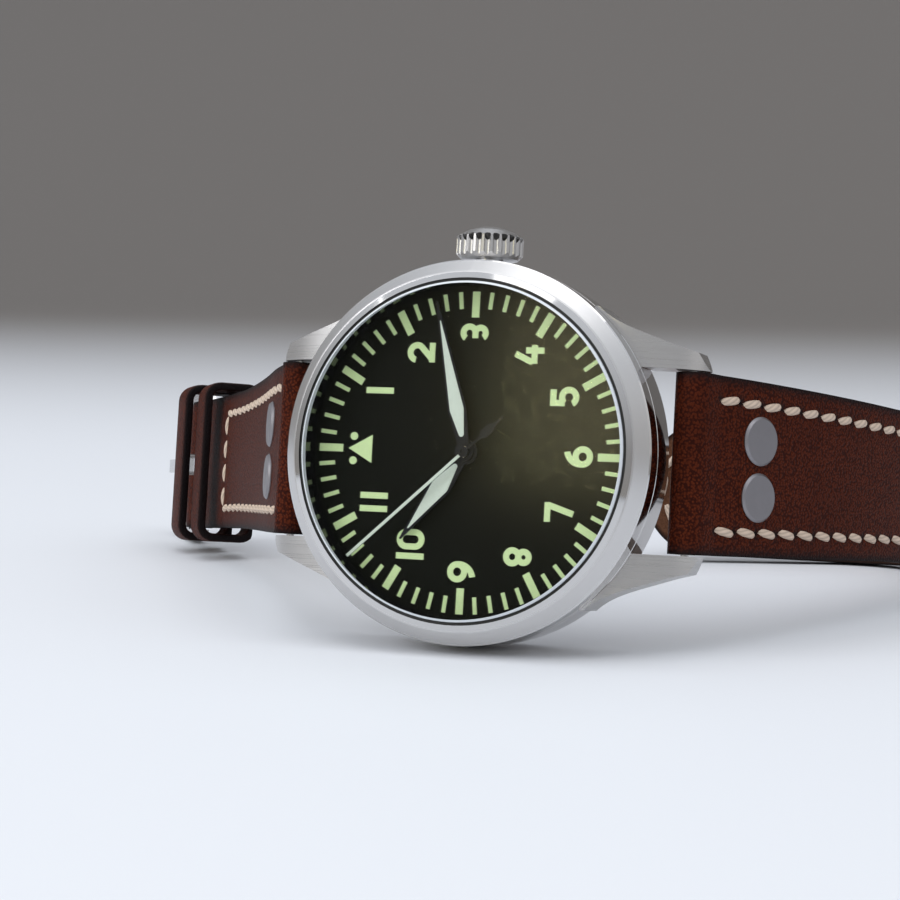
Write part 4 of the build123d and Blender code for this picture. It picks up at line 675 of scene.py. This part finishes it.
class WATCH_OT_case(bpy.types.Operator):
    """Finishes the case, the bezel, the lugs and the back in brushed and polished steel"""

    bl_idname = "watch.case"
    bl_label = "Case"

    def execute(self, context):
        steel = context.scene.watch_steel

        def bevel_and_rim(tree, radius):
            inner = calculate(tree, "LESS_THAN", radius, steel.bezel_polish_edge)
            outer = calculate(tree, "GREATER_THAN", radius, steel.bezel_rim)
            return calculate(tree, "MAXIMUM", inner, outer)

        def flank(tree, radius):
            return calculate(tree, "LESS_THAN", radius, steel.flank_radius)

        dress(brushed_steel("bezel steel", steel.brushed, 0.33, 22000.0, 0.3, True, bevel_and_rim), "bezel")
        dress(brushed_steel("case steel", steel.brushed, 0.30, 16000.0, 0.22, False, flank), "case_middle")
        dress(brushed_steel("back steel", steel.brushed, 0.3, 20000.0, 0.25, True), "case_back")
        dress(brushed_steel("crown steel", steel.brushed, 0.36, 12000.0, 0.15), "crown")
        tube = brushed_steel("tube steel", steel.polished, 0.2, 12000.0, 0.1)
        dress(tube, "crown_tube", "winding_stem", "lug_spring_bars", "buckle_spring_bar")
        rubber, tree, shader = new_material("seal rubber", (0.012, 0.012, 0.012), 0.6)
        bump(tree, shader, object_noise(tree, Scale=4000.0), 0.1, COARSE)
        dress(rubber, "case_gaskets", "crown_gasket")
        return {"FINISHED"}


class WATCH_OT_glass(bpy.types.Operator):
    """Gives the crystal and the back's window clear coated glass, and paints a highlight on the crystal's
    edge
    """

    bl_idname = "watch.glass"
    bl_label = "Glass"

    def execute(self, context):
        glass = new_material(
            "clear crystal", (1.0, 1.0, 1.0), 0.0,
            Transmission_Weight=1.0, IOR=1.12, Coat_Weight=1.0, Coat_Roughness=0.11, Alpha=0.055,
        )[0]
        dress(glass, "crystal", "back_window")
        self.paint_edge_highlight(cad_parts["crystal"])
        return {"FINISHED"}

    def paint_edge_highlight(self, crystal):
        """Gives the crystal's ground bevel and side a pale colour of their own, a painted highlight for the
        bright ring of light along the glass's edge.
        """
        edge, tree, shader = new_material("crystal edge painted highlight", (0.72, 0.76, 0.80), 0.22)
        bump(tree, shader, object_noise(tree, Scale=6000.0, Detail=2.0), 0.15, FINE)
        # painted highlight: the bevel and side faces get the pale colour instead of clear glass
        crystal.data.materials.append(edge)
        outward, flatness = TO_ROW.to_3x3().col[2], 0.98
        for polygon in crystal.data.polygons:
            if abs(polygon.normal.dot(outward)) < flatness:
                polygon.material_index = 1


class WATCH_OT_dial(bpy.types.Operator):
    """Finishes the matte dial, its luminous marks and the glossy ring round it"""

    bl_idname = "watch.dial"
    bl_label = "Dial"

    def execute(self, context):
        colours = context.scene.watch_dial
        face, tree, shader = new_material("dial lacquer", colours.face, 0.6, Specular_IOR_Level=0.06)
        bump(tree, shader, object_noise(tree, Scale=9000.0, Detail=2.0), 0.25, FINE)
        dress(face, "dial")
        dress(self.paint("luminous marks", colours.marks), "dial_markings")
        filling = self.paint("luminous filling", colours.hand_fill)
        dress(filling, "hour_hand_lume", "minute_hand_lume", "seconds_hand_lume")
        ring, tree, shader = new_material("inner ring", (0.006, 0.006, 0.0065), 0.06, IOR=2.0)
        haze = object_noise(tree, Scale=1800.0, Detail=3.0)
        feed(tree, shader, {"Roughness": ramp(tree, haze, (0.35, 0.04), (0.7, 0.11))})
        dress(ring, "rehaut_ring")
        return {"FINISHED"}

    def paint(self, name, colour):
        """Grainy luminous paint."""
        glow, tree, shader = new_material(name, colour, 0.75)
        grains = object_noise(tree, Scale=11000.0, Detail=3.0)
        darker = tuple(channel * 0.86 for channel in colour)
        feed(tree, shader, {"Base Color": ramp(tree, grains, (0.35, darker), (0.65, tuple(colour)))})
        bump(tree, shader, grains, 0.3, FINE)
        return glow


class WATCH_OT_hands(bpy.types.Operator):
    """Finishes the hands' dark frames"""

    bl_idname = "watch.hands"
    bl_label = "Hands"

    def execute(self, context):
        colour = context.scene.watch_dial.hand_frame
        enamel, tree, shader = new_material("hand enamel", colour, 0.32, Specular_IOR_Level=0.1)
        haze = object_noise(tree, Scale=2500.0)
        feed(tree, shader, {"Roughness": ramp(tree, haze, (0.3, 0.26), (0.7, 0.4))})
        dress(enamel, "hour_hand", "minute_hand", "seconds_hand")
        return {"FINISHED"}


class WATCH_OT_movement(bpy.types.Operator):
    """Finishes the plates, wheels, jewels and rotor behind the dial"""

    bl_idname = "watch.movement"
    bl_label = "Movement"

    def execute(self, context):
        plates = patterned_steel("pearled plate", (0.52, 0.50, 0.47), 0.32, "pearls", 1.5 * MM)
        dress(plates, "main_plate", "movement_ring")
        bridges = patterned_steel("striped bridge", (0.62, 0.61, 0.59), 0.28, "stripes", 1.7 * MM)
        dress(bridges, "barrel_bridge", "train_bridge", "balance_cock", "pallet_bridge")
        dress(patterned_steel("rotor steel", (0.45, 0.44, 0.43), 0.26, "stripes", 1.7 * MM), "rotor")
        blued = brushed_steel("blued steel", (0.020, 0.045, 0.19), 0.2, 14000.0, 0.1)
        dress(blued, "movement_screws", "hairspring")
        wheels = brushed_steel("wheel steel", (0.55, 0.55, 0.56), 0.22, 14000.0, 0.2, True)
        dress(
            wheels, "winding_pinion", "sliding_clutch", "crown_wheel", "ratchet_wheel", "click",
            "cannon_pinion", "minute_wheel", "hour_wheel", "barrel_arbor", "mainspring", "escape_wheel",
            "pallet_fork", "rotor_bearing", "casing_clamps",
        )
        gilt = brushed_steel("gilt brass", (0.72, 0.50, 0.20), 0.25, 14000.0, 0.25, True)
        dress(gilt, "barrel", "centre_wheel", "third_wheel", "fourth_wheel", "balance_wheel")
        dress(new_material("ruby", (0.35, 0.005, 0.04), 0.06, Coat_Weight=0.5)[0], "jewels")
        return {"FINISHED"}


def column_places(inset):
    """Places across the strap as shares of its half width, closer together at the stitching and the edges."""
    edge = 1 - inset / MEAN_HALF_WIDTH
    inner = [0.0, 0.085, 0.17, 0.28, 0.40, 0.50, edge - 0.12]
    outer = [edge - 0.055, edge - 0.03, edge, edge + 0.03, edge + 0.055, 0.86, 0.93, 0.97, 1.0]
    right = inner + outer
    return [-share for share in reversed(right[1:])] + right


def flat_leather(name, length, width_at, rise, settings):
    """A layer of leather drawn flat: its running length along X, its width along Y."""
    columns = column_places(settings.stitch_inset)
    last = len(columns) - 1
    rows = int(length / (settings.stitch_pitch / ROWS_PER_STITCH)) + 1
    obj = primitive(
        bpy.ops.mesh.primitive_grid_add, name, x_subdivisions=rows, y_subdivisions=last, size=1.0
    )
    for vertex in obj.data.vertices:
        along = (vertex.co.x + 0.5) * length
        share = columns[round((vertex.co.y + 0.5) * last)]
        vertex.co = Vector((along, share * width_at(along), rise(along, share)))
    return obj


def thicken(obj, thickness, weights=None):
    """Gives a flat sheet its thickness, in shares of it by a function of X, and soft rims."""
    solid = obj.modifiers.new("Thickness", "SOLIDIFY")
    solid.thickness = thickness
    solid.offset = 0.0
    if weights:
        group = obj.vertex_groups.new(name="thickness")
        for vertex in obj.data.vertices:
            group.add([vertex.index], weights(vertex.co.x), "REPLACE")
        solid.vertex_group = "thickness"
    apply_all(obj)
    round_off(obj, thickness * RIM_SHARE, 3, 60)


def paint_edges(obj, inside, band, fade=1.0):
    """Stores how near each point is to a painted edge, and on the strap to the painted shade round a needle
    hole, from 0 to 1, by how far inside it lies.
    """
    layer = obj.data.attributes.new("edge", "FLOAT", "POINT")
    for vertex, value in zip(obj.data.vertices, layer.data):
        value.value = limited(1 - inside(vertex.co) / band) ** fade


def finish_leather(obj, material):
    """Gives a leather piece its material and smooth shading up to its creases."""
    obj.data.materials.append(material)
    select_only(obj)
    bpy.ops.object.shade_smooth_by_angle(angle=LEATHER_CREASE)


class WATCH_OT_strap(bpy.types.Operator):
    """Models a strap half: outer leather folded round its bars, and its lining"""

    bl_idname = "watch.strap"
    bl_label = "Strap half"

    half: bpy.props.EnumProperty(
        name="Half",
        description="Which half of the strap",
        items=[("short", "Buckle half", "Towards 12 o'clock"), ("long", "Tail half", "Towards 6 o'clock")],
    )

    def execute(self, context):
        settings = context.scene.watch_strap
        half = STRAP_HALVES[self.half]
        leather, lining = strap_leathers(settings)
        self.layer(half, settings, "top", f"strap_{self.half}_leather", f"strap_{self.half}", leather)
        self.layer(half, settings, "lining", f"strap_{self.half}_inner", f"strap_{self.half}_lining", lining)
        return {"FINISHED"}

    def layer(self, half, settings, layer, name, node, material):
        """One of a half's two leathers, drawn flat, cut, thickened and bent on to its line."""
        outer, has_tail = layer == "top", half["side"] < 0
        table = line_table(leather_line(half, layer))
        length = strap_length(half)
        total = table[-1][0]
        lead = FOLD_RUN if outer else -INNER_START
        seam_place, seam_width = 1 - settings.stitch_inset / MEAN_HALF_WIDTH, 0.05
        seam_depth, hole_depth = 0.08 * MM, 0.16 * MM
        crown_height, crown_ease = 0.16 * MM, 4 * MM
        hole_shade_radius, hole_shade_fade, paint_band = 0.2 * MM, 2.2, 0.9 * MM
        tip_blunt = 0.012
        first, last, count = stitch_rows(self.half, settings)
        pitch = (last - first) / count

        def distance(along):
            """Distance from the spring bar at a running length of the layer."""
            return min(length, max(0.0, along - lead))

        def width_at(along):
            wide = half_width(half, distance(along))
            left = total - along
            if has_tail and left < TAIL_TIP:
                wide *= math.sqrt(max(tip_blunt, 1 - ((TAIL_TIP - left) / TAIL_TIP) ** 2))
            return wide

        def rise(along, share):
            """A crown that fades towards the bar, and a groove with a dip at every stitch hole."""
            if not outer:
                return 0.0
            at = distance(along)
            crown = crown_height * (1 - abs(share) ** 3) * limited(at / crown_ease)
            if not first < at < last:
                return crown
            near = max(0.0, 1 - abs(abs(share) - seam_place) / seam_width)
            beat = 0.5 + 0.5 * math.cos(2 * math.pi * (at - first) / pitch)
            return crown - near * (seam_depth + hole_depth * beat)

        def weights(along):
            """The leather's share of its thickness, which is less in the folds."""
            away = along - lead
            if not has_tail:
                away = min(away, lead + length - along)
            return FOLD_THICKNESS + (1 - FOLD_THICKNESS) * limited(away / FOLD_EASE)

        obj = flat_leather(name, total, width_at, rise, settings)
        if outer and not has_tail:
            self.cut_notch(obj, lead + length)
        thicken(obj, OUTER_LEATHER if outer else INNER_LEATHER, weights if outer else None)
        for vertex in obj.data.vertices:
            vertex.co.x = min(vertex.co.x, total)
        holes = []
        if has_tail:
            holes = [lead + length - FIRST_HOLE - HOLE_PITCH * index for index in range(HOLE_COUNT)]
            self.punch(obj, holes)

        def inside(co):
            """How far a point lies from the nearest edge, buckle hole or needle hole; the dark round each
            needle hole is painted shade.
            """
            near = [math.hypot(co.x - place, co.y) - HOLE_RADIUS for place in holes]
            at = distance(co.x)
            needle = first + pitch * min(count, max(0, round((at - first) / pitch)))
            row = half_width(half, at) - settings.stitch_inset
            # painted shade: a small dark spot at every needle hole, where the thread dips into the leather
            near.append(hole_shade_fade * (math.hypot(at - needle, abs(co.y) - row) - hole_shade_radius))
            return min(width_at(co.x) - abs(co.y), max(0.0, min(near)))

        paint_edges(obj, inside, paint_band, 0.7)
        lay_on_strap(obj, half, lambda along: on_line(table, along))
        finish_leather(obj, material)
        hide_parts(node)
        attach(obj, half["body"])

    def cut_notch(self, obj, end):
        """Opens the notch for the tongue in the end that folds round the buckle's bar."""
        pick(obj, "FACE", lambda face: (
            abs(face.center.y) < NOTCH_HALF_WIDTH and face.center.x > end - NOTCH_LENGTH
        ))
        edit(obj, bpy.ops.mesh.delete, None, type="FACE")

    def punch(self, obj, places):
        """Punches round holes through a flat layer."""
        cutter = joined([
            primitive(
                bpy.ops.mesh.primitive_cylinder_add, vertices=24, radius=HOLE_RADIUS, depth=6 * MM,
                location=(place, 0, 0), rotation=(0, 0, math.radians(4)),
            )
            for place in places
        ])
        cut = obj.modifiers.new("Holes", "BOOLEAN")
        cut.object = cutter
        cut.solver = "EXACT"
        apply_all(obj)
        remove(cutter)


class WATCH_OT_stitching(bpy.types.Operator):
    """Sews the strap's halves with twisted thread"""

    bl_idname = "watch.stitching"
    bl_label = "Stitching"

    def execute(self, context):
        settings = context.scene.watch_strap
        thread = self.twisted_thread(settings.thread)
        for key, half in STRAP_HALVES.items():
            start, end, count = stitch_rows(key, settings)
            pitch = (end - start) / count
            places = []
            for index in range(count):
                distance = start + pitch * (index + 0.5)
                reach = half_width(half, distance) - settings.stitch_inset
                places += [(distance, side * reach, 0.0, side) for side in (1, -1)]
            reach = half_width(half, end) - settings.stitch_inset
            if key == "short":
                across = round(2 * reach / pitch)
                for index in range(across):
                    places.append((end, -reach + 2 * reach * (index + 0.5) / across, math.pi / 2, 1))
            else:
                tip = TAIL_TIP - settings.stitch_inset
                across = round(math.pi * (reach + tip) / 2 / pitch)
                for index in range(across):
                    angle = math.pi * ((index + 0.5) / across - 0.5)
                    turn = math.atan2(reach * math.cos(angle), -tip * math.sin(angle))
                    places.append((end + tip * math.cos(angle), reach * math.sin(angle), turn, 1))
            self.sew(key, half, places, settings, thread)
        return {"FINISHED"}

    def twisted_thread(self, colour):
        """Waxed thread with its twist running along the piece's own map."""
        thread, tree, shader = new_material("waxed thread", colour, 0.6)
        waves = add_node(
            tree, "ShaderNodeTexWave", wave_type="BANDS", bands_direction="DIAGONAL", Scale=3.0,
            Vector=(tree.nodes.new("ShaderNodeUVMap"), "UV"),
        )
        twist = (waves, "Fac")
        darker = tuple(channel * 0.72 for channel in colour)
        feed(tree, shader, {"Base Color": ramp(tree, twist, (0.0, darker), (0.7, tuple(colour)))})
        bump(tree, shader, twist, 0.6, TWIST_DEPTH)
        return thread

    def sew(self, key, half, places, settings, thread):
        """Sets a stitch at every place on both faces of a half."""
        upper, lower, slant, reach = 1.40 * MM, -1.32 * MM, 0.16, 0.84
        one = self.one_stitch(settings.stitch_pitch * reach, settings.thread_width)
        copies = []
        for along, across, turn, side in places:
            for level in (upper, lower):
                copy = one.copy()
                copy.data = one.data.copy()
                bpy.context.collection.objects.link(copy)
                turned = Matrix.Rotation(turn + slant * side, 4, "Z")
                copy.matrix_world = Matrix.Translation((along, across, level)) @ turned
                copies.append(copy)
        obj = named(joined(copies), f"stitching_{key}")
        lay_on_strap(obj, half, lambda along: strap_line(half, along))
        obj.data.materials.append(thread)
        select_only(obj)
        bpy.ops.object.shade_smooth()
        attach(obj, half["body"])
        remove(one)

    def one_stitch(self, length, width):
        """A stitch: a short thread that dips into its hole at both ends."""
        obj = primitive(
            bpy.ops.mesh.primitive_cylinder_add, "stitch",
            vertices=10, radius=width / 2, depth=length, rotation=(0, math.pi / 2, 0),
        )
        settle(obj)
        for place in (-0.36, -0.18, 0.0, 0.18, 0.36):
            edit(obj, bpy.ops.mesh.bisect, plane_co=(place * length, 0, 0), plane_no=(1, 0, 0))
        taper, flatness, dip = 0.42, 0.8, 0.30 * width
        for vertex in obj.data.vertices:
            share = abs(vertex.co.x) / (length / 2)
            slim = 1 - taper * share**5
            vertex.co.y *= slim
            vertex.co.z = vertex.co.z * slim * flatness - dip * share**2
        return obj


class WATCH_OT_keepers(bpy.types.Operator):
    """Models the fixed and the loose keeper as folded bands of leather"""

    bl_idname = "watch.keepers"
    bl_label = "Keepers"

    def execute(self, context):
        leather = strap_leathers(context.scene.watch_strap)[0]
        half = STRAP_HALVES["short"]
        for name, place, sink, body in (
            ("fixed_keeper", 66.5 * MM, 0.03 * MM, "short_strap"),
            ("loose_keeper", 58.5 * MM, 1.2 * MM, "loose_keeper"),
        ):
            obj = self.band(f"{name}_leather", sink)
            x, y, heading = strap_line(half, place)
            lay_on_strap(obj, half, lambda along: (
                x + along * math.cos(heading), y + along * math.sin(heading), heading
            ))
            edit(obj, bpy.ops.mesh.normals_make_consistent, inside=False)
            finish_leather(obj, leather)
            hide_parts(name)
            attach(obj, body)
        return {"FINISHED"}

    def band(self, name, sink):
        """A band of leather with rounded corners round the strap's section, sunk so far below it."""
        wall, wide, room, inner = 1.1 * MM, 5.5 * MM, 5.0 * MM, 9.3 * MM
        corner, edge_drop, paint_band = wall * 1.5, 0.12 * MM, 0.7 * MM
        low = -1.3 * MM - sink
        middle = low + room / 2
        obj = primitive(bpy.ops.mesh.primitive_cube_add, name, size=1.0)
        obj.dimensions = (wide, 2 * (inner + wall), room + 2 * wall)
        obj.location = (0, 0, middle)
        settle(obj)
        pick(obj, "FACE", lambda face: abs(face.normal.x) > 0.9)
        edit(obj, bpy.ops.mesh.delete, None, type="ONLY_FACE")

        def runs_along(edge):
            first, last = (obj.data.vertices[index].co for index in edge.vertices)
            return abs(first.x - last.x) > wide / 2

        pick(obj, "EDGE", runs_along)
        edit(obj, bpy.ops.mesh.bevel, None, offset=corner, segments=6)
        for share in (-0.3, 0.0, 0.3):
            edit(obj, bpy.ops.mesh.bisect, plane_co=(share * wide, 0, 0), plane_no=(1, 0, 0))
        for share in (-0.6, -0.3, 0.0, 0.3, 0.6):
            edit(obj, bpy.ops.mesh.bisect, plane_co=(0, share * inner, 0), plane_no=(0, 1, 0))
        for vertex in obj.data.vertices:
            if vertex.co.z > middle:
                vertex.co.z -= edge_drop * (abs(vertex.co.x) / (wide / 2)) ** 2
        thicken(obj, wall)
        for vertex in obj.data.vertices:
            vertex.co.z = max(vertex.co.z, low - wall)
        paint_edges(obj, lambda co: wide / 2 - abs(co.x), paint_band)
        return obj


class WATCH_OT_buckle(bpy.types.Operator):
    """Finishes the buckle, its tongue and the rivets in steel"""

    bl_idname = "watch.buckle"
    bl_label = "Buckle and rivets"

    def execute(self, context):
        steel = context.scene.watch_steel
        dress(brushed_steel("buckle steel", steel.brushed, 0.26, 14000.0, 0.2), "buckle")
        dress(brushed_steel("tongue steel", steel.polished, 0.2, 14000.0, 0.15), "buckle_tongue")
        rivet, tree, shader = new_material("rivet steel", steel.rivet, 0.46, 1.0)
        wear = object_noise(tree, Scale=500.0, Detail=4.0)
        feed(tree, shader, {"Roughness": ramp(tree, wear, (0.3, 0.40), (0.7, 0.54))})
        bump(tree, shader, object_noise(tree, Scale=7000.0, Detail=3.0, Roughness=0.7), 0.35, COARSE)
        dress(rivet, "rivets_short", "rivets_long")
        return {"FINISHED"}


class WATCH_OT_stage(bpy.types.Operator):
    """Sets up the floor, the backdrop, the lamps and the camera"""

    bl_idname = "watch.stage"
    bl_label = "Studio"

    def execute(self, context):
        self.sweep(context.scene.watch_stage)
        self.lamps()
        self.sky(context.scene)
        context.scene.view_settings.view_transform = "Standard"
        camera = bpy.data.cameras.new("camera")
        camera.lens = 94.724
        camera.sensor_width = 36.0
        camera.clip_start = 0.01
        holder = bpy.data.objects.new("camera", camera)
        holder.location = (0.104331, -0.278152, 0.047373)
        holder.rotation_euler = [math.radians(angle) for angle in (84.3275, -0.0367, 20.8343)]
        context.collection.objects.link(holder)
        context.scene.camera = holder
        return {"FINISHED"}

    def sky(self, scene):
        """A plain sky, darker below and a little blue above."""
        scene.world = bpy.data.worlds.new("studio")
        scene.world.use_nodes = True
        tree = scene.world.node_tree
        place = tree.nodes.new("ShaderNodeTexCoord")
        split = add_node(tree, "ShaderNodeSeparateXYZ", (place, "Generated"))
        tones = ((0.0, (0.36, 0.35, 0.34)), (0.2, (0.37, 0.37, 0.375)), (0.75, (0.80, 0.84, 0.90)))
        feed(tree, tree.nodes["Background"], {"Color": ramp(tree, (split, "Z"), *tones), "Strength": 1.0})

    def sweep(self, colours):
        """A floor that curves up into a wall far behind."""
        size, wall, curve, far = 3.2, 1.8, 0.8, 1.5
        obj = primitive(bpy.ops.mesh.primitive_plane_add, "floor", size=size)
        pick(obj, "EDGE", lambda edge: all(obj.data.vertices[index].co.y > far for index in edge.vertices))
        edit(obj, bpy.ops.mesh.extrude_region_move, None, TRANSFORM_OT_translate={"value": (0, 0, wall)})
        round_off(obj, curve, 24, 30)
        bpy.ops.object.shade_smooth()
        paper, tree, shader = new_material("studio paper", colours.floor, 0.6)
        place = tree.nodes.new("ShaderNodeTexCoord")
        split = add_node(tree, "ShaderNodeSeparateXYZ", (place, "Object"))
        away = add_node(
            tree, "ShaderNodeMapRange", (split, "Y"),
            interpolation_type="SMOOTHSTEP", **{"From Min": 0.12, "From Max": 0.75},
        )
        floor, wall_colour = (*colours.floor, 1.0), (*colours.backdrop, 1.0)
        feed(tree, shader, {"Base Color": mixed(tree, "RGBA", (away, "Result"), floor, wall_colour)})
        obj.data.materials.append(paper)

    def lamps(self):
        """Soft lamps: a wide one above, one on each side and a small warm one in front."""
        aim = (0, -0.02, 0.02)
        for name, place, size, power, colour in (
            ("lamp_top", (0.05, -0.10, 0.75), 0.7, 2.1, (1.0, 1.0, 1.0)),
            ("lamp_left", (-0.62, -0.62, 0.50), 0.5, 3.0, (0.97, 0.98, 1.0)),
            ("lamp_right", (0.70, -0.30, 0.30), 0.4, 0.12, (1.0, 0.97, 0.94)),
            ("lamp_glow", (-0.326, -1.16, 0.298), 0.12, 0.75, (1.0, 0.90, 0.48)),
        ):
            light = bpy.data.lights.new(name, "AREA")
            light.size = size
            light.energy = power
            light.color = colour
            holder = bpy.data.objects.new(name, light)
            holder.location = place
            holder.rotation_euler = (Vector(aim) - Vector(place)).to_track_quat("-Z", "Y").to_euler()
            bpy.context.collection.objects.link(holder)


class WATCH_PT_panel(bpy.types.Panel):
    """The watch's pieces in the sidebar"""

    bl_label = "Pilot Watch"
    bl_idname = "WATCH_PT_panel"
    bl_space_type = "VIEW_3D"
    bl_region_type = "UI"
    bl_category = "Watch"

    def draw(self, context):
        layout = self.layout
        for group in SETTINGS:
            settings = getattr(context.scene, group)
            box = layout.box()
            for key in settings.bl_rna.properties.keys():
                if key not in ("rna_type", "name"):
                    box.prop(settings, key)
        for operator in OPERATORS:
            layout.operator(operator.bl_idname)


SETTINGS = {
    "watch_steel": WatchSteel,
    "watch_dial": WatchDial,
    "watch_strap": WatchStrap,
    "watch_stage": WatchStage,
}
OPERATORS = (
    WATCH_OT_case, WATCH_OT_glass, WATCH_OT_dial, WATCH_OT_hands, WATCH_OT_movement,
    WATCH_OT_strap, WATCH_OT_stitching, WATCH_OT_keepers, WATCH_OT_buckle, WATCH_OT_stage,
)


def register():
    """Adds the settings, the operators and the panel."""
    for name, group in SETTINGS.items():
        bpy.utils.register_class(group)
        setattr(bpy.types.Scene, name, bpy.props.PointerProperty(type=group))
    for operator in OPERATORS:
        bpy.utils.register_class(operator)
    bpy.utils.register_class(WATCH_PT_panel)


def unregister():
    """Takes them away again."""
    bpy.utils.unregister_class(WATCH_PT_panel)
    for operator in reversed(OPERATORS):
        bpy.utils.unregister_class(operator)
    for name, group in SETTINGS.items():
        delattr(bpy.types.Scene, name)
        bpy.utils.unregister_class(group)


def main():
    """Dresses the watch."""
    register()
    bpy.ops.watch.case()
    bpy.ops.watch.glass()
    bpy.ops.watch.dial()
    bpy.ops.watch.hands()
    bpy.ops.watch.movement()
    bpy.ops.watch.strap(half="short")
    bpy.ops.watch.strap(half="long")
    bpy.ops.watch.stitching()
    bpy.ops.watch.keepers()
    bpy.ops.watch.buckle()
    bpy.ops.watch.stage()


if __name__ == "__main__":
    main()
